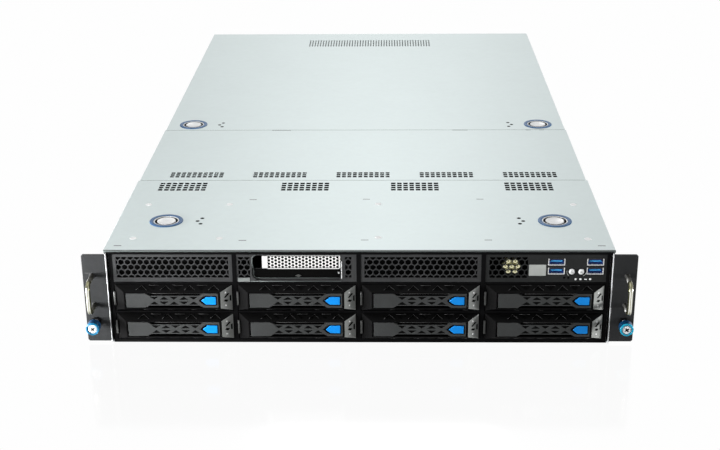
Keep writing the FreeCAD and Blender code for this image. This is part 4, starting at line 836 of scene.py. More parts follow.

# %% [markdown]
# Small marks break up the wide sheets: pressed dimples where the cage is spot-welded, lancing slits laid on
# as dark blocks of painted shade, three open dots beside each latch, and painted shadow in the seams and
# their notches. Each is a low turned disc or a thin block.
# Marks on the sheet stand less than a tenth of a millimetre proud, so they never flicker against it.

# %% Dimples, slits, dots and seams
DIMPLES = [(-200.8, 112.0), (-124.0, 112.6), (16.5, 113.6), (199.7, 111.7),
           (-200.8, 29.0), (-124.0, 29.0), (17.0, 31.0), (201.6, 27.5)]
DIMPLE_PROFILE = [(0.01, 0.05), (1.6, 0.06), (2.4, 0.09), (2.9, 0.06), (3.2, -0.02)]
SLITS = [(-103.0, 125.0), (5.0, 126.0), (113.0, 126.0), (-103.0, 24.0), (5.0, 25.0), (114.0, 25.0),
         (-211.5, 12.0), (211.5, 12.0)]
SLIT_HALF_X, SLIT_HALF_Y = 3.4, 0.8
DOTS = [(1.6, 7.0), (-1.8, 0.0), (1.7, -6.6)]
DOT_PROFILE = [(0.01, 0.03), (1.5, 0.03), (1.85, 0.02), (1.95, -0.02)]
DOT_MARKS = {"front": (147.0, 70.0), "rear": (161.0, 359.5)}
SEAMS, SEAM_HALF, SEAM_INSET = (179.0, 340.5), 0.29, 0.4
NOTCHES = [(-92.0, 10.5), (104.5, 8.5), (179.5, 2.5), (194.0, 2.5)]
HEM_HALF = 222.1

dimples = [turned(DIMPLE_PROFILE, (x, y, CASE_TOP), steps=20) for x, y in DIMPLES]
piece("cover_dimples", dimples, dimple_white, "front_cover")
# The lancing slits are dark blocks laid on the sheet, painted shade.
slits = [soft_block((x - SLIT_HALF_X, y - SLIT_HALF_Y, CASE_TOP - 0.3),
                    (x + SLIT_HALF_X, y + SLIT_HALF_Y, CASE_TOP + 0.03)) for x, y in SLITS]
piece("cover_slits", slits, slit_shade_steel, "front_cover", False)
for end, (mark_x, mark_y) in DOT_MARKS.items():
    spots = [(side * (mark_x - dx), mark_y + dy, CASE_TOP) for side in (-1, 1) for dx, dy in DOTS]
    dots = [turned(DOT_PROFILE, spot, steps=16) for spot in spots]
    piece(end + "_latch_dots", dots, deep_black, end + "_cover")
reach = HALF_CASE - SEAM_INSET
# Black strips under the seams are painted shadow in the gaps.
seams = [soft_block((-reach, y - SEAM_HALF, CASE_TOP - 1.6), (reach, y + SEAM_HALF, CASE_TOP - 0.06))
         for y in SEAMS]
piece("seam_gaskets", seams, deep_black, "case", False)
# Black blocks on the rear seam are painted shade for its notches.
notches = [soft_block((x - half, 339.0, CASE_TOP - 0.4), (x + half, 340.2, CASE_TOP + 0.04))
           for x, half in NOTCHES]
piece("seam_notches", notches, deep_black, "case", False)
# The hem is the cover's front edge in dark grey: painted shade on its face and on a narrow strip of the top.
hem = [soft_block((-HEM_HALF, 0.86, CASE_TOP - 1.95), (HEM_HALF, 1.0, CASE_TOP - 0.12), 0.05),
       soft_block((-HEM_HALF, 0.92, CASE_TOP - 0.3), (HEM_HALF, 2.7, CASE_TOP + 0.04), 0.15)]
piece("cover_hem", hem, shade_and_highlight_grey, "front_cover", False)
print("dimples", len(DIMPLES), "slits", len(SLITS))

# %% [markdown]
# Behind each honeycomb lies a black sheet of painted shade, so the cells read as deep black holes. The gold
# glints in the port panel are brass sockets that stand behind its grille. Both are simple blocks and turned
# parts a few millimetres behind the sheet.

# %% Filters and brass sockets behind the honeycombs
SHADE_SHEETS = [(-213.0, -112.0, 3.2), (3.8, 105.0, 3.2), (112.3, 148.2, 9.6), (-105.4, -94.8, 3.2),
           (-12.8, -5.2, 3.2)]
SHADE_SHEET_LOW, SHADE_SHEET_HIGH, SHADE_SHEET_THICK = 60.6, 84.0, 0.6
SOCKETS = [(129.9, 77.9), (135.9, 77.9), (127.4, 73.2), (132.9, 73.1), (138.2, 73.2), (130.1, 68.5),
           (136.1, 68.5)]
SOCKET_PROFILE = [(0.5, 3.0), (0.6, 1.9), (0.8, 1.6), (2.2, 1.6), (2.6, 1.9), (2.6, 9.0), (0.5, 9.0),
                  (0.5, 3.0)]

# Painted shade: black sheets behind the honeycombs.
shade_sheets = [soft_block((left, depth, SHADE_SHEET_LOW), (right, depth + SHADE_SHEET_THICK, SHADE_SHEET_HIGH), 0.2)
           for left, right, depth in SHADE_SHEETS]
piece("dust_filters", shade_sheets, deep_black, "case", False)
sockets = [turned(SOCKET_PROFILE, (x, 0.0, z), "y", 20) for x, z in SOCKETS]
piece("brass_sockets", sockets, brass)
print("shade_sheets", len(shade_sheets), "sockets", len(sockets))

# %% [markdown]
# The narrow bay in the second panel is closed by a bright plate full of round holes. One cell of it is a
# rhombus with a hole: the outer ring of points follows the rhombus, 1 / (|cos|/a + |sin|/b), the inner ring
# follows the circle. Cells laid in staggered rows fit together without gaps, and four plain strips hide
# their zigzag border.

# %% Perforated plate
HOLE_PITCH_X, HOLE_PITCH_Z, HOLE_RADIUS = 5.97, 3.1, 1.22
PLATE_CENTRE = (-48.15, 77.3)
PLATE_FRONT, PLATE_BACK = 0.7, 0.85
FULL_ROWS, BETWEEN_ROWS = (11, 4), (10, 3)


def hole_cell(half_x, half_z, radius, front, back, sides=16):
    """A rhombus with a round hole: rings of points on the rhombus, the hole's front rim and its back rim."""
    angle = np.arange(sides) * 2 * np.pi / sides
    reach = 1 / (np.abs(np.cos(angle)) / half_x + np.abs(np.sin(angle)) / half_z)
    rings = []
    for size, depth in ((reach, front), (radius + 0 * angle, front), (radius + 0 * angle, back)):
        rings.append(np.stack([size * np.cos(angle), depth + 0 * angle, size * np.sin(angle)], 1))
    return grid(np.stack(rings), wrap=True)


def cell_places(columns, rows):
    """Cell centres in rows and columns about the middle of the plate."""
    x, z = np.meshgrid(np.arange(columns) - (columns - 1) / 2, np.arange(rows) - (rows - 1) / 2)
    return np.stack([x.ravel() * HOLE_PITCH_X + PLATE_CENTRE[0], 0 * x.ravel(),
                     z.ravel() * HOLE_PITCH_Z + PLATE_CENTRE[1]], 1)


cell = hole_cell(HOLE_PITCH_X / 2, HOLE_PITCH_Z / 2, HOLE_RADIUS, PLATE_FRONT, PLATE_BACK)
cell_spots = np.concatenate([cell_places(*FULL_ROWS), cell_places(*BETWEEN_ROWS)])
(plate_left, _, plate_low), (plate_right, _, plate_high) = extent("slot_blank")
BORDERS = [(plate_left, -79.25, plate_low, plate_high), (-17.2, plate_right, plate_low, plate_high),
           (plate_left, plate_right, 83.0, plate_high), (plate_left, plate_right, plate_low, 71.55)]
borders = [soft_block((left, PLATE_FRONT - 0.03, low), (right, PLATE_BACK, high))
           for left, right, low, high in BORDERS]
piece("perforated_plate", [copies(cell, cell_spots)] + borders, plate_white, "case", False)
shadow = soft_block((plate_left + 0.3, 1.03, 71.2), (plate_right - 0.3, 1.17, 83.2), 0.05)
piece("plate_shadow", [shadow], deep_black, "case", False)
print("holes", len(cell_spots))

# %% [markdown]
# Round the bay the panel shows thin edges that catch the light: the rounded end of the opening, the lip of
# the shelf and the panel's lower fold. They are rods along short paths, in a grey lighter than the panel as
# painted highlight. A spring strip at the right, a small screw with a diamond head, a grey label and a grey
# tag by the ports complete the front. The label and the tag are bare.

# %% Edges, screw and label of the bay
EDGE_Y, SHELF_Y, FOLD_Y, FOLD_Z = -0.12, 1.3, -0.1, 59.3
DIAMOND = [(-55.3, 64.1), (-52.7, 62.7), (-50.1, 64.1), (-52.7, 65.5)]
BALL_PROFILE = [(0.01, 0.8), (0.5, 0.9), (0.85, 1.4), (0.85, 1.9)]


def arc(x, z, radius, first, last, depth, count):
    """Points on a circle in the panel's plane, from one angle to another."""
    angle = np.radians(np.linspace(first, last, count))
    return np.stack([x + radius * np.cos(angle), depth + 0 * angle, z + radius * np.sin(angle)], 1)


upper_edge = np.concatenate([arc(-88.7, 80.0, 4.0, 90, 180, EDGE_Y, 7),
                             [(-92.7, EDGE_Y, 76.0), (-92.0, EDGE_Y, 72.5)]])
shelf_edge = np.concatenate([[(-91.6, SHELF_Y, 71.0)], arc(-88.4, 65.2, 3.2, 180, 270, SHELF_Y, 7),
                             [(-17.6, SHELF_Y, 62.0)]])
lower_fold = [(x, FOLD_Y, FOLD_Z) for x in (-94.3, -55.0, -15.2)]
# Painted highlight: rods lighter than the panel along the bay's edges.
edges = [rod(upper_edge, 0.4, 10), rod(shelf_edge, 0.28, 8), rod(lower_fold, 0.28, 8)]
piece("bay_edges", edges, shade_and_highlight_grey)
strip = soft_block((-15.3, -0.35, 61.8), (-14.4, 0.4, 78.2), 0.2, 2)
ball = turned(BALL_PROFILE, (-17.2, 0.0, 66.8), "y", 14)
piece("bay_bright_parts", [strip, ball], bright_steel, "case", False)
piece("bay_screw", [slab(DIAMOND, 1.2, 1.7)], tab_grey, "case", False)
drawer = soft_block((-91.4, 1.6, 62.2), (-16.4, 1.95, 70.6), 0.15, 2)
piece("bay_drawer", [drawer], deep_black, "case", False)
label = soft_block((-105.6, -0.22, 58.9), (-95.0, -0.02, 62.7), 0.08)
tag = soft_block((147.8, -0.28, 64.9), (162.6, -0.02, 75.3))
piece("bare_label", [label], tag_grey, "case", False)
piece("bare_tag", [tag], panel_grey, "case", False)
print("bay edges", len(edges))

# %% [markdown]
# The port panel has four sockets, two round buttons and a row of indicators. Each socket gets a black hood
# along its top rim, a bright blue edge on its tongue and a dark throat below it. The tongue's face and the
# throat are a deep navy, painted shade inside the socket, and the edge is a lighter copy of the same blue,
# painted highlight. The buttons are turned caps with a bare face, and the indicators stay plain dots, since
# the part carries no symbols.

# %% Sockets, buttons and indicators
SOCKET_SPOTS = [(x, z) for x in (171.6, 205.1) for z in (69.35, 77.85)]
CAP_PROFILE = [(0.01, -1.12), (1.3, -1.18), (1.9, -1.12), (2.25, -0.9), (2.4, -0.5), (2.4, 1.2), (3.1, 1.4),
               (3.1, 2.4), (0.01, 2.4)]
CAP_DOT = [(0.01, -1.24), (0.55, -1.23), (0.7, -1.16)]
DOT_FACE = [(0.01, -0.12), (0.85, -0.12), (1.0, -0.02)]
BUTTONS = {"power_button": 185.0, "locate_button": 193.2}
BUTTON_Z, ARC_RADIUS, ARC_Y = 68.6, 4.3, -0.05

hoods = [soft_block((x - 6.3, -0.42, z + 2.45), (x + 6.3, -0.05, z + 3.2)) for x, z in SOCKET_SPOTS]
# The tongue's edge is a lighter copy of its blue, painted highlight; the throat below is navy, painted shade.
tongue_edges = [soft_block((x - 4.9, 0.95, z - 0.1), (x + 4.9, 1.25, z + 1.05)) for x, z in SOCKET_SPOTS]
throats = [soft_block((x - 6.5, 1.9, z - 2.4), (x + 6.5, 3.0, z + 0.1)) for x, z in SOCKET_SPOTS]
piece("socket_hoods", hoods, socket_plastic, "case", False)
piece("socket_tongue_edges", tongue_edges, tongue_edge_painted_highlight, "case", False)
nodes["usb_tongues"].data.materials[0] = socket_painted_shade_navy
piece("socket_throats", throats, socket_painted_shade_navy, "case", False)
for button, x in BUTTONS.items():
    at = (x, 0.0, BUTTON_Z)
    piece(button + "_cap", [turned(CAP_PROFILE, at, "y", 32)], button_plastic, button,
          replace=[button])
    piece(button + "_dot", [turned(CAP_DOT, at, "y", 12)], panel_grey, button)
left_arc = arc(BUTTONS["power_button"], BUTTON_Z, ARC_RADIUS, 165, 235, ARC_Y, 9)
right_arc = arc(BUTTONS["locate_button"], BUTTON_Z, ARC_RADIUS, -65, -10, ARC_Y, 9)
piece("button_arcs", [rod(path, 0.22, 8) for path in (left_arc, right_arc)], panel_grey)
dots = [turned(DOT_FACE, (x, 0.0, 61.6), "y", 12) for x in (188.6, 192.9, 201.2)]
dots.append(soft_block((196.2, -0.12, 61.0), (198.4, -0.02, 62.0), 0.05))
piece("indicator_dots", dots, button_plastic)
lights = [turned(DOT_FACE, (x, 0.0, 63.0), "y", 12) for x in (178.6, 182.3)]
piece("indicator_lamps", lights, deep_black)
print("sockets", len(hoods), "indicators", len(dots) + len(lights))

# %% [markdown]
# A drive carrier's bezel is a shallow pyramid: four slopes round a flat face. The CAD gives the slopes and
# their triangular vents. Here the vents get a black lining of painted shade just under the surface, the left
# part of the upper slope gets its slanting groove as a dark strip of painted shade, and the edges that catch
# the light get thin grey ribs of painted highlight. Points on a slope come from a formula of x and depth, so
# every line follows it exactly.

# %% Slopes of a bezel
BEZEL_WIDTH, BEZEL_HEIGHT, BEZEL_RISE = 104.0, 25.4, 7.5
SLOPE_RIGHT, SLOPE_HIGH = 10.8, 4.9
UPPER_OUT, UPPER_UP, FACET_OUT, FACET_ACROSS = 0.55, 0.84, 0.82, 0.57
MIDDLE = BEZEL_HEIGHT / 2
VENT_MIDDLES = 24.486 + 10.571 * np.arange(7)
VENT_PAINTED_SHADE = [(17.5, -6.2), (94.0, -6.2), (94.0, -0.8), (17.5, -0.8)]
GROOVE_PAINTED_SHADE = [(33.0, -7.4), (34.4, -7.4), (24.6, -0.4), (23.2, -0.4)]
CUTS = [[(0.30, 0.60), (0.44, 0.57), (0.74, 0.70), (0.60, 0.75)],
        [(0.28, 0.42), (0.52, 0.36), (0.66, 0.44), (0.40, 0.50)],
        [(0.74, 0.40), (0.86, 0.38), (0.86, 0.62), (0.74, 0.60)]]
SKIN = [(0.05, 0.02), (0.93, 0.02), (0.93, 0.98), (0.05, 0.98)]
LAMP_PROFILE = [(0.01, -0.35), (0.6, -0.3), (0.95, 0.1), (0.95, 0.5)]
RIB_LIFT, RIB_RADIUS, FLAT_RIB_RADIUS = 0.1, 0.2, 0.16
RIM_Y, RIM_HIGH, RIM_RADIUS = -7.52, 6.8, 0.15


def upper(x, y, lift=0.0):
    """A point of the upper slope: z falls by the slope's height as y goes from the rim to the face. A lift
    moves it square to the slope, out and up."""
    x, y = np.broadcast_arrays(np.asarray(x, float), np.asarray(y, float))
    z = BEZEL_HEIGHT + SLOPE_HIGH * y / BEZEL_RISE
    return np.stack([x, y - lift * UPPER_OUT, z + lift * UPPER_UP], -1)


def lower(x, y, lift=0.0):
    """A point of the lower slope, the mirror image of the upper one."""
    return upper(x, y, lift) * [1, 1, -1] + [0, 0, BEZEL_HEIGHT]


def facet(u, v, lift=0.0):
    """A point of the right slope: u goes from the face to the rim, v from the lower edge to the upper."""
    low, high = SLOPE_HIGH * (1 - u), BEZEL_HEIGHT - SLOPE_HIGH * (1 - u)
    return np.array([BEZEL_WIDTH - SLOPE_RIGHT * (1 - u) + lift * FACET_ACROSS,
                     -BEZEL_RISE * (1 - u) - lift * FACET_OUT, low + (high - low) * v])


def facet_plate(corners, lift):
    """A thin flat plate on the right slope, from just under its skin up to the lift."""
    outer = [facet(u, v, lift) for u, v in corners]
    inner = [facet(u, v, -0.1) for u, v in corners]
    return grid(np.array([inner, outer]), wrap=True, caps=True)


def slope_patch(slope, corners, lift):
    """A flat panel on the upper or lower slope, raised by the lift."""
    return patch(*[slope(x, y, lift) for x, y in corners])


# Painted shade: black patches under the vents, on the groove and on the facet's cuts.
bezel_painted_shade = [slope_patch(upper, VENT_PAINTED_SHADE, -0.4), slope_patch(lower, VENT_PAINTED_SHADE, -0.4),
              slope_patch(upper, GROOVE_PAINTED_SHADE, 0.05)]
bezel_painted_shade += [facet_plate(corners, 0.1) for corners in CUTS]
# Painted highlight: thin grey ribs along the edges of the vents and the window.
ribs = [rod(upper([m - 4.6, m, m + 4.6], [-5.3, -1.35, -5.3], RIB_LIFT), RIB_RADIUS, 6)
        for m in VENT_MIDDLES[0::2]]
ribs += [rod(upper([m - 4.4, m, m + 4.4], -1.25, RIB_LIFT), FLAT_RIB_RADIUS, 6)
         for m in VENT_MIDDLES[1::2]]
ribs += [rod(lower([m + 1.0, m + 3.0, m + 5.0], [-4.6, -3.6, -2.6], RIB_LIFT), RIB_RADIUS, 6)
         for m in VENT_MIDDLES[0::2]]
window_rim = [(x, RIM_Y, MIDDLE + RIM_HIGH) for x in (34.0, 56.0, 78.0)]
ribs.append(rod(window_rim, RIM_RADIUS, 6))
lamps = [turned(LAMP_PROFILE, facet(0.42, v), "y", 14) for v in (0.82, 0.2)]
tab = soft_block((-0.9, -2.2, 6.0), (0.9, -0.7, 18.6), 0.25, 2)
skin = facet_plate(SKIN, 0.06)
print("one bezel:", len(ribs), "ribs,", len(CUTS), "cuts")

# %% [markdown]
# The lever lies in the bezel's window. Its neck is a lattice of triangles, lined with black from behind as
# painted shade, and a dark well of painted shade surrounds the blue latch, which is what makes the latch
# stand out so sharply. The eight carriers are alike, so each piece is made once and copied to its bay, where
# it rides on that bay's body.

# %% Linings, ribs and wells of the eight carriers
LATCH_RIGHT, LATCH_BACK, LATCH_TIP = 89.8, 76.8, 81.2
WELL = [(LATCH_RIGHT + 0.8, -4.6), (LATCH_RIGHT + 0.8, 4.6), (LATCH_TIP - 0.6, 4.6),
        (LATCH_BACK - 1.6, 0.7), (LATCH_BACK - 1.6, -0.7), (LATCH_TIP - 0.6, -4.6)]

# Painted shade: a black lining behind the lever's neck and a dark well round the latch.
neck_painted_shade = soft_block((31.6, -7.22, MIDDLE - 3.95), (74.4, -4.4, MIDDLE + 3.95))
neck_top = soft_block((32.0, -7.35, MIDDLE + 4.66), (75.5, -3.6, MIDDLE + 4.8), 0.05)
well = slab([(x, MIDDLE + height) for x, height in WELL], -7.58, -7.4)
lever_painted_shade = [neck_painted_shade, neck_top, well]
for number in CARRIERS:
    body = "drive_carrier_%d" % number
    name = "carrier_%d_" % number
    low, _ = extent(body)
    place = [(low[0], 0.0, low[2])]
    piece(name + "dark", [copies(joined(bezel_painted_shade), place)], deep_black, body, False)
    piece(name + "ribs", [copies(joined(ribs), place)], rib_painted_highlight, body)
    piece(name + "facet", [copies(skin, place)], facet_grey, body, False)
    piece(name + "lamps", [copies(joined(lamps), place)], button_plastic, body)
    piece(name + "tab", [copies(tab, place)], tab_grey, body)
    piece("lever_%d_dark" % number, [copies(joined(lever_painted_shade), place)], deep_black,
          "carrier_lever_%d" % number, False)
print("carriers dressed", len(CARRIERS))

# %% [markdown]
# The handles are bent round bar, plated. A rod with many sides follows the bar's centre line: out of the ear,
# round a bend, up, round a second bend and back. The reflection along the bar is painted into its colour as
# pale and olive bands, which is what makes it look like chrome. Duller sleeves on the legs, with a painted
# streak of highlight, and a low foot at each end finish it.

# %% Handles
SIDES = (-1, 1)
HANDLE_X, HANDLE_LOW, HANDLE_HIGH, HANDLE_FRONT, HANDLE_BEND = 232.55, 38.0, 66.0, -24.35, 6.5
EAR_FRONT, LEG_FRONT = -2.5, -17.6
BAR_RADIUS, LEG_RADIUS, BAR_SIDES = 2.05, 2.09, 28
FOOT_PROFILE = [(2.0, -0.35), (2.3, -0.4), (2.6, -0.25), (2.7, 0.0), (2.7, 0.1)]


def handle_path(x):
    """The bar's centre line: leg, quarter circle, grip, quarter circle, leg."""
    turn = np.radians(np.linspace(0, 90, 12))
    low = np.stack([HANDLE_FRONT + HANDLE_BEND * (1 - np.sin(turn)),
                    HANDLE_LOW + HANDLE_BEND * (1 - np.cos(turn))], 1)
    high = np.stack([low[::-1, 0], HANDLE_HIGH + HANDLE_LOW - low[::-1, 1]], 1)
    start, step = EAR_FRONT + 0.2, -10.0
    flat = np.concatenate([[(start, HANDLE_LOW), (step, HANDLE_LOW)], low, high,
                           [(step, HANDLE_HIGH), (start, HANDLE_HIGH)]])
    return np.insert(flat, 0, x, axis=1)


ENDS = [(side * HANDLE_X, z) for side in SIDES for z in (HANDLE_LOW, HANDLE_HIGH)]
bars = [rod(handle_path(side * HANDLE_X), BAR_RADIUS, BAR_SIDES) for side in SIDES]
legs = [rod([(x, y, z) for y in (EAR_FRONT, -8.0, LEG_FRONT)], LEG_RADIUS, BAR_SIDES) for x, z in ENDS]
feet = [turned(FOOT_PROFILE, (x, EAR_FRONT, z), "y", BAR_SIDES) for x, z in ENDS]
piece("handle_bars", bars, handle_chrome, replace=["rack_handles"])
piece("handle_legs", legs, leg_painted_streak_plating)
piece("handle_feet", feet, ear_steel)
print("handles", len(bars), "feet", len(feet))

# %% [markdown]
# A captive screw below each handle fixes the server in its rack. The knob is anodised blue with fine flutes:
# a wave in the angle makes its radius swing by under a tenth. Its sides are a dark navy, painted shade, and
# its front rim a bright cyan, painted light. A plated screw head with a cross recess fills the knob's front,
# and the bare shank shows behind it. One lamp stands close to the left knob, so the rim and the screw there
# are painted darker, as painted shade against that lamp, and the right ones paler, as painted light. The
# collar behind the knob and the cross recess are black, painted shade.

# %% Captive screws
SCREW_Z = 21.8
RIM_PROFILE = [(4.35, -18.4), (4.4, -19.4), (4.6, -19.7), (5.1, -19.75), (5.7, -19.5), (5.95, -19.0),
               (5.98, -18.4), (4.35, -18.4)]
KNOB_PROFILE = [(4.35, -18.35), (5.9, -18.35), (5.98, -17.6), (5.98, -12.0), (5.9, -11.3), (5.5, -10.9),
                (2.6, -10.85), (2.6, -12.0), (4.35, -18.35)]
SCREW_PROFILE = [(0.01, -19.25), (2.8, -19.3), (3.9, -19.1), (4.3, -18.6), (4.3, -17.0), (2.4, -16.0),
                 (2.4, 1.0), (1.9, 1.1), (1.9, 8.4), (1.5, 8.95), (0.01, 8.95)]
COLLAR_PROFILE = [(2.45, -4.0), (3.9, -4.0), (4.15, -3.7), (4.15, -2.9), (2.45, -2.9), (2.45, -4.0)]
# Painted light and shade: the left rim and screw are painted darker against the close lamp, the right ones
# paler.
RIM_PAINTED_LIGHT = {"left_thumbscrew": (0.0, 0.11, 0.22), "right_thumbscrew": (0.0, 0.30, 0.46)}
SCREW_PAINTED_LIGHT = {"left_thumbscrew": (0.52, 0.53, 0.54), "right_thumbscrew": (0.93, 0.94, 0.95)}
FLUTES, FLUTE_DEPTH = 30, 0.014
CROSS_HALF, CROSS_WIDTH = 2.0, 0.55
BAR_CORNERS = ((-1, -1), (1, -1), (1, 1), (-1, 1))


def flutes(angle, share):
    """Fine flutes: the radius swings in waves round the knob, only along its side."""
    side = np.clip((0.5 - np.abs(share - 0.55)) * 8, 0, 1)
    return 1 - FLUTE_DEPTH * side * (0.5 + 0.5 * np.cos(FLUTES * angle))


def turned_bar(x, z, degrees):
    """Corners of one bar of the cross recess, turned about its middle."""
    along = np.array([math.cos(math.radians(degrees)), math.sin(math.radians(degrees))])
    across = np.array([-along[1], along[0]])
    return np.array([(x, z) + a * CROSS_HALF * along + b * CROSS_WIDTH * across for a, b in BAR_CORNERS])


for side, name in zip(SIDES, ("left_thumbscrew", "right_thumbscrew")):
    at = (side * HANDLE_X, 0.0, SCREW_Z)
    rim_painted_light = grained(name + "_rim_cyan", RIM_PAINTED_LIGHT[name], 0.26, 0.3, 0.01, 0.08, 0.3)
    screw_painted_light = grained(name + "_plating", SCREW_PAINTED_LIGHT[name], 0.28, 0.3, 0.01, 0.05, 0.4)
    piece(name + "_knob", [turned(KNOB_PROFILE, at, "y", 120, flutes)], knob_painted_shade_blue, name)
    piece(name + "_rim", [turned(RIM_PROFILE, at, "y", 64)], rim_painted_light, name)
    piece(name + "_screw", [turned(SCREW_PROFILE, at, "y", 40)], screw_painted_light, name,
          replace=[name])
    # The collar is painted black, painted shade behind the knob.
    piece(name + "_collar", [turned(COLLAR_PROFILE, at, "y", 32)], black_steel, name)
    # The cross recess is black bars, painted shade in the recess.
    cross = [slab(turned_bar(at[0], SCREW_Z, degrees), -19.38, -18.9) for degrees in (35.0, 125.0)]
    piece(name + "_cross", cross, deep_black, name, False)
print("captive screws", len(SIDES))

# %% [markdown]
# The ears are thick coated sheet. A fine step crosses the left one above its handle and marks off a bare
# field, where a maker would put a badge; it stays empty. The bare metal of the case shows as a bright line
# beside each ear: a pale strip, partly the metal's own colour and partly painted highlight, with a black
# strip of painted shade behind it that hides the tray's edge.

# %% Step and edges of the ears
STEP_Z = 68.2
EDGE_X, EDGE_HALF = 220.1, 0.42
EDGE_SHADE_X, EDGE_SHADE_HALF = 218.9, 0.75

step = rod([(x, EAR_FRONT, STEP_Z) for x in (-239.0, -231.0, -224.0)], 0.3, 8)
piece("ear_step", [step], ear_steel)
edges = [soft_block((side * EDGE_X - EDGE_HALF, -2.58, 0.6), (side * EDGE_X + EDGE_HALF, 0.4, 86.0), 0.3, 2)
         for side in SIDES]
piece("case_edges", edges, edge_metal_and_highlight_white)
lip = soft_block((-218.6, -0.6, 0.02), (218.6, 0.4, 2.4), 0.3, 2)
piece("front_lip", [lip], deep_black)
# Black strips of painted shade hide the tray's edge behind the pale ones.
edge_shade_strips = [soft_block((side * EDGE_SHADE_X - EDGE_SHADE_HALF, -0.5, 2.0), (side * EDGE_SHADE_X + EDGE_SHADE_HALF, 0.3, 86.2), 0.2, 2)
         for side in SIDES]
piece("case_edge_backs", edge_shade_strips, deep_black)
print("case edges", len(edges), "front lip", 1)

# %% [markdown]
# Behind the drives stand four fans. A real blade turns as it goes out: steep at the hub, where it moves
# slowly, and flatter at the tip. Its section is a thin bowed lens, so a blade is a grid of radius by place
# on the section, wrapped on cylinders round the axle. A wire guard keeps fingers out. The CAD bore has
# twelve sides, and a thin round liner inside it makes the opening look turned.

# %% Fan rotors, liners and guards
FAN_SPOTS = [(x, 0, 40.7) for x in (-150.0, -50.0, 50.0, 150.0)]
HUB_RADIUS, BLADE_TIP, BLADES = 15.0, 34.4, 5
HALF_CHORD, CHORD_GROWTH, BLADE_HALF, BLADE_BOW = 10.5, 2.0, 0.7, 1.8
HUB_PITCH, PITCH_GROWTH = 28, 26
ROTOR_FRONT, ROTOR_BACK = 213.7, 239.7
HUB_PROFILE = [(0.01, ROTOR_FRONT), (11.0, ROTOR_FRONT), (13.8, ROTOR_FRONT + 0.5), (14.8, ROTOR_FRONT + 1.6),
               (15.0, ROTOR_FRONT + 3.5), (15.0, ROTOR_BACK), (2.4, ROTOR_BACK), (2.4, 226.5), (0.01, 226.5)]
LINER_PROFILE = [(35.4, 205.2), (36.15, 205.2), (36.15, 239.6), (35.4, 239.6), (35.4, 205.2)]
GUARD_SCREW = [(0.01, 203.5), (2.6, 203.6), (3.0, 204.2), (3.0, 205.0)]
RING_RADII, RING_Y, SPOKE_Y, WIRE, GUARD_REACH = (11.0, 19.0, 27.0, 35.0), 203.9, 204.3, 0.55, 35.5
AXLE = (0, 0, 0)


def fan_blade(turn):
    """A blade: at radius r a lens of a given chord and bow is tilted by a pitch that grows from hub to tip,
    and its reach across becomes the angle across / r."""
    r = np.linspace(HUB_RADIUS - 0.5, BLADE_TIP, 8)[:, None]
    share = (r - r.min()) / (r.max() - r.min())
    round_section = np.arange(12)[None, :] * 2 * np.pi / 12
    along = (HALF_CHORD + CHORD_GROWTH * share) * np.cos(round_section)
    bow = BLADE_HALF * np.sin(round_section) + BLADE_BOW * np.sin(round_section) ** 2
    pitch = np.radians(HUB_PITCH + PITCH_GROWTH * share)
    axial = along * np.cos(pitch) - bow * np.sin(pitch)
    angle = turn + (along * np.sin(pitch) + bow * np.cos(pitch)) / r
    middle = (ROTOR_FRONT + ROTOR_BACK) / 2
    return grid(np.stack([r * np.cos(angle), middle + axial, r * np.sin(angle)], 2), wrap=True, caps=True)


def wire_ring(radius):
    """A ring of round wire: a small circle turned about the fan's axle."""
    angle = np.linspace(0, 2 * np.pi, 7)
    circle = np.stack([radius + WIRE * np.cos(angle), RING_Y + WIRE * np.sin(angle)], 1)
    return turned(circle, AXLE, "y", 40)


rotor = [turned(HUB_PROFILE, AXLE, "y", 40)]
rotor += [fan_blade(2 * np.pi * k / BLADES) for k in range(BLADES)]
guard = [wire_ring(radius) for radius in RING_RADII]
guard += [rod([(side * GUARD_REACH * end, SPOKE_Y, GUARD_REACH * end) for end in (-1, 0, 1)], WIRE, 6)
          for side in SIDES]
guard += [turned(GUARD_SCREW, (x * GUARD_REACH, 0, z * GUARD_REACH), "y", 12) for x in SIDES for z in SIDES]
liner = turned(LINER_PROFILE, AXLE, "y", 56)
for number, spot in enumerate(FAN_SPOTS, 1):
    name = "fan_rotor_%d" % number
    piece(name + "_bladed", [copies(joined(rotor), [spot])], socket_plastic, name,
          replace=[name])
piece("fan_liners", [copies(liner, FAN_SPOTS)], black_plastic)
piece("fan_guards", [copies(joined(guard), FAN_SPOTS)], bright_steel)
print("fans", len(FAN_SPOTS), "with", BLADES, "blades each")

# %% [markdown]
# A main board is crowded. Only a few kinds of parts make the crowd: flat black chips, square coils, round
# capacitors, long slots and the clips at the ends of the memory slots. Each kind is one small shape, copied
# to rows of places, and the rows follow a usual layout: coils and capacitors near the processors, slots
# at the back left.

# %% Parts on the main board
BOARD_TOP = 8.8
PROCESSORS = (-120.5, 44.0)
CHIPS = [(-70, 600), (-40, 660), (-70, 700), (10, 580), (60, 590), (95, 640), (60, 700), (20, 720),
         (100, 720)]
CAN_PROFILE = [(2.9, 0.0), (2.9, 7.6), (2.5, 8.2), (0.01, 8.2)]
CELL_PROFILE = [(9.6, 0.0), (10.0, 0.6), (10.0, 3.6), (9.4, 4.2), (0.01, 4.2)]
SLOT_SPOTS = [(x, 0, 0) for x in (-181.55, -161.25, -140.95, -120.65)]
FIN_COUNT, FIN_STEP, FIN_THICK = 11, 4.2, 0.8
COOLER_HALF, COOLER_FRONT, COOLER_BACK, COOLER_BASE = 22, 620, 664, 3
COIL_ROW, CAN_ROWS = 394.0, (380.0, 552.0)


def row(centre, half, count, y):
    """Places in a row across the board, on both sides of a centre."""
    x = np.linspace(centre - half, centre + half, count)
    return np.stack([x, np.full(count, y), np.full(count, BOARD_TOP)], 1)


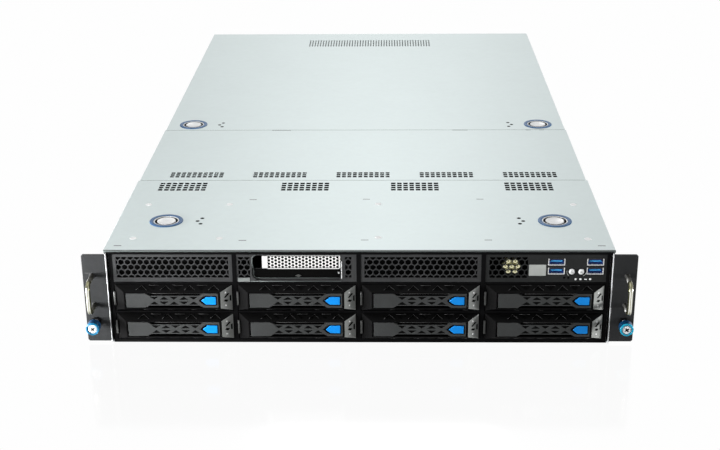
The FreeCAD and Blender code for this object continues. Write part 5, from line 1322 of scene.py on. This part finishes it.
coil = soft_block((-3.6, -3.6, 0), (3.6, 3.6, 6.0), 0.8)
can = turned(CAN_PROFILE, (0, 0, 0), "z", 12)
chip = soft_block((-6.0, -6.0, 0), (6.0, 6.0, 1.4), 0.2)
coil_spots = np.concatenate([row(x, 40, 9, COIL_ROW) for x in PROCESSORS])
can_spots = np.concatenate([row(x, 42, 11, y) for x in PROCESSORS for y in CAN_ROWS])
chip_spots = [(x, y, BOARD_TOP) for x, y in CHIPS]
piece("board_coils", [copies(coil, coil_spots)], tab_grey)
piece("board_cans", [copies(can, can_spots)], bright_steel)
piece("board_chips", [copies(chip, chip_spots)], socket_plastic)
slot = soft_block((-3.7, 590, BOARD_TOP), (3.7, 680, BOARD_TOP + 11), 0.4)
# The slits are black blocks on the slots, painted shade in their openings.
slit = soft_block((-1.0, 592, BOARD_TOP + 10.6), (1.0, 678, BOARD_TOP + 11.05))
piece("board_slots", [copies(slot, SLOT_SPOTS)], socket_plastic)
piece("board_slot_slits", [copies(slit, SLOT_SPOTS)], deep_black)
piece("board_cell", [turned(CELL_PROFILE, (30.0, 650.0, BOARD_TOP), "z", 32)], bright_steel)
fin = soft_block((-COOLER_HALF, COOLER_FRONT, BOARD_TOP + COOLER_BASE),
                 (-COOLER_HALF + FIN_THICK, COOLER_BACK, BOARD_TOP + 15))
fins = copies(fin, [(FIN_STEP * k, 0, 0) for k in range(FIN_COUNT)])
base = soft_block((-COOLER_HALF, COOLER_FRONT, BOARD_TOP),
                  (COOLER_HALF, COOLER_BACK, BOARD_TOP + COOLER_BASE), 0.4)
piece("bridge_cooler", [fins, base], heatsink_aluminium, "case", False)
print("coils", len(coil_spots), "cans", len(can_spots), "chips", len(CHIPS), "slots", len(SLOT_SPOTS))

# %% [markdown]
# Each processor cooler is a pack of thin fins. The CAD comb has seven thick ones, and thinner sheets stand
# between them here. The memory modules get their chips, eight in a row, and the slots their end clips.

# %% Cooler fins, memory chips and clips
BANK_STEP = (82.275 - 35.0 - 5.0 - 3.0) / 4
MEMORY_X = [x + side * (40.0 + (k + 0.5) * BANK_STEP) for x in PROCESSORS for side in SIDES for k in range(4)]
MEMORY_ENDS, CLIP_GAP = (408.5, 541.5), 3.2
COMB_LEFT, COMB_STEP, COMB_GAPS = -34.2, 11.4, 6

fin_sheet = soft_block((-0.2, 440.4, 20.8), (0.2, 509.6, 67.4))
sheet_spots = [(x + COMB_LEFT + COMB_STEP * (k + share), 0, 0)
               for x in PROCESSORS for k in range(COMB_GAPS) for share in (0.27, 0.5, 0.73)]
fin_sheets = [copies(fin_sheet, sheet_spots)]
piece("cooler_fins", fin_sheets, heatsink_aluminium, "case", False)
memory_chip = soft_block((0.72, -5.2, 22.5), (1.5, 5.2, 34.0))
memory_spots = [(x, y, 0) for x in MEMORY_X for y in np.linspace(418.0, 532.0, 8)]
piece("memory_chips", [copies(memory_chip, memory_spots)], socket_plastic, "case", False)
clip = soft_block((-2.4, -2.6, BOARD_TOP), (2.4, 2.6, BOARD_TOP + 15.0), 0.8)
clip_spots = [(x, y, 0) for x in MEMORY_X for y in (MEMORY_ENDS[0] - CLIP_GAP, MEMORY_ENDS[1] + CLIP_GAP)]
piece("memory_clips", [copies(clip, clip_spots)], button_plastic)
print("fins", len(sheet_spots), "memory chips", len(memory_spots), "clips", len(clip_spots))

# %% [markdown]
# From behind one sees the supplies, the ports, the slot covers and the air vents. A mesh of thin bars closes
# each vent. The ports get bright rims and dark throats with a tongue, the slot covers dark slits laid on as
# thin blocks of painted shade, and a few screws hold the panel.

# %% Rear mesh, ports and slot covers
VENTS, VENT_LEFT, VENT_RIGHT, VENT_GAP = 10, -104.5, 126.3, 4.0
VENT_LOW, VENT_HIGH = 40.0, 74.0
PORTS = [(-104.5, 14.5, 16.0), (-84.0, 16.0, 13.5), (-62.0, 16.0, 13.5), (-40.0, 16.0, 13.5),
         (-18.0, 31.0, 12.5)]
PORT_RIM, THROAT_INSET, TONGUE_INSET = 1.3, 1.25, 3.5
EXPANSION_X = [-201.85 + 20.3 * k for k in range(5)]
SCREW_FACE = [(0.01, REAR + 1.5), (2.2, REAR + 1.45), (2.8, REAR + 1.1), (3.0, REAR + 0.1), (3.0, REAR - 0.2)]
UPPER_SCREWS = [(x, 0, 82.6) for x in EXPANSION_X + [-60.0, 40.0, 120.0]]
LOWER_SCREWS = [(x, 0, 4.6) for x in (-212.0, -60.0, 40.0, 120.0)]
MESH_BAR = 0.8


def mesh(left, right, low, high, columns, rows, front, back):
    """Bars across an opening: equal steps between its sides, upright ones and level ones."""
    upright = soft_block((-MESH_BAR / 2, front, low), (MESH_BAR / 2, back, high))
    level = soft_block((left, front, -MESH_BAR / 2), (right, back, MESH_BAR / 2))
    bars = [copies(upright, [(x, 0, 0)]) for x in np.linspace(left, right, columns + 1)[1:-1]]
    bars += [copies(level, [(0, 0, z)]) for z in np.linspace(low, high, rows + 1)[1:-1]]
    return joined(bars)


step = (VENT_RIGHT - VENT_LEFT) / VENTS
lefts = [VENT_LEFT + k * step for k in range(VENTS)]
vents = [mesh(left, left + step - VENT_GAP, VENT_LOW, VENT_HIGH, 6, 11, 778.95, 779.7) for left in lefts]
piece("rear_mesh", vents, galvanised, "case", False)
rims, throats, tongues = [], [], []
for left, width, height in PORTS:
    right, low, high = left + width, BOARD_TOP, BOARD_TOP + height
    for x0, x1, z0, z1 in ((left, left + PORT_RIM, low, high), (right - PORT_RIM, right, low, high),
                           (left, right, low, low + PORT_RIM), (left, right, high - PORT_RIM, high)):
        rims.append(soft_block((x0, 776.0, z0), (x1, 780.6, z1), 0.2))
    throats.append(soft_block((left + THROAT_INSET, 764.0, low + THROAT_INSET),
                              (right - THROAT_INSET, 766.0, high - THROAT_INSET), 0.2))
    tongues.append(soft_block((left + TONGUE_INSET, 765.0, high - 5.0),
                              (right - TONGUE_INSET, 777.0, high - 3.4), 0.2))
piece("port_rims", rims, bright_steel, "case", False)
piece("port_throats", throats, deep_black, "case", False)
piece("port_tongues", tongues, socket_painted_shade_navy, "case", False)
# The slits are thin black blocks on the plate, painted shade.
slit = soft_block((-4.6, 778.78, -1.1), (4.6, 778.98, 1.1), 0.05)
slit_spots = [(x, 0, z) for x in EXPANSION_X for z in np.linspace(16.0, 70.0, 11)]
piece("cover_plate_slits", [copies(slit, slit_spots)], deep_black, "case", False)
screws = [turned(SCREW_FACE, spot, "y", 14) for spot in UPPER_SCREWS + LOWER_SCREWS]
piece("rear_screws", screws, bright_steel)
print("vents", len(vents), "ports", len(PORTS), "screws", len(screws))

# %% [markdown]
# A power supply slides in from behind by its bail. Its outlet is a grille over dark strips of painted shade,
# its inlet holds three flat pins in a dark shell, and a small release tab sits beside the bail. All of these
# ride on the supply, so they come out with it. No cord is plugged in.

# %% Power supplies
PSU_LOW = {"power_supply_1": 1.8, "power_supply_2": 41.9}
PSU_HEIGHT = 39.5
PINS = [(151.8, -2.5), (165.8, -2.5), (158.8, 3.5)]
OUTLET_LEFT, OUTLET_RIGHT, OUTLET_ROWS = 175.4, 211.7, 4
SUPPLY_LAMP = [(0.01, 780.5), (0.9, 780.4), (1.2, 779.9)]
for name, low in PSU_LOW.items():
    middle = low + PSU_HEIGHT / 2
    pins = [soft_block((x - 2.0, 762.0, middle + z - 1.0), (x + 2.0, 775.0, middle + z + 1.0), 0.3)
            for x, z in PINS]
    inlet = [soft_block((146.7, 762.1, middle - 8.1), (170.9, 763.0, middle + 4.0), 0.2)]
    levels = [low + (k + 0.5) * PSU_HEIGHT / OUTLET_ROWS for k in range(OUTLET_ROWS)]
    # Dark strips behind the outlet grille are painted shade, joined in one piece with the inlet's dark shell.
    inlet += [soft_block((OUTLET_LEFT, 778.05, z - 1.45), (OUTLET_RIGHT, 778.3, z + 1.45)) for z in levels]
    bars = [mesh(OUTLET_LEFT, OUTLET_RIGHT, z - 1.5, z + 1.5, 13, 1, 779.0, 779.8) for z in levels]
    tab = soft_block((172.4, 779.8, middle - 5.0), (174.4, 784.0, middle + 5.0), 0.5, 2)
    lamp = turned(SUPPLY_LAMP, (173.4, 0, middle + 12.0), "y", 12)
    piece(name + "_pins", pins, bright_steel, name)
    piece(name + "_inlet", inlet, deep_black, name, False)
    piece(name + "_grille", bars, galvanised, name, False)
    piece(name + "_tab", [tab], blue_plastic, name)
    piece(name + "_lamp", [lamp], button_plastic, name)
print("supplies", len(PSU_LOW))

# %% [markdown]
# The sides carry the studs that hang in the rack's rails, and small flat screws that hold the cage and the
# fan wall. They are low turned discs, copied along each side.

# %% Side studs and screws
STUD_FACE = np.array([(0.01, 2.6), (4.2, 2.6), (4.6, 2.3), (4.6, 1.6), (3.0, 1.4), (3.0, -0.2)])
FLAT_FACE = np.array([(0.01, 0.35), (2.0, 0.35), (2.6, 0.15), (2.9, -0.1)])
STUD_SPOTS = [(y, 44.0) for y in (60.0, 300.0, 540.0, 740.0)]
FLAT_SPOTS = [(y, z) for y in (95.0, 165.0, 215.0, 400.0, 640.0) for z in (16.0, 70.0)]


def on_sides(profile, spots, steps):
    """Turned parts at the same places of both sides, each facing away from the case."""
    return [turned(profile * [1, side], (side * HALF_CASE, y, z), "x", steps)
            for side in SIDES for y, z in spots]


studs = on_sides(STUD_FACE, STUD_SPOTS, 16)
flats = on_sides(FLAT_FACE, FLAT_SPOTS, 12)
piece("side_studs", studs, bright_steel)
piece("side_screws", flats, bright_steel)
print("studs", len(studs), "side screws", len(flats))
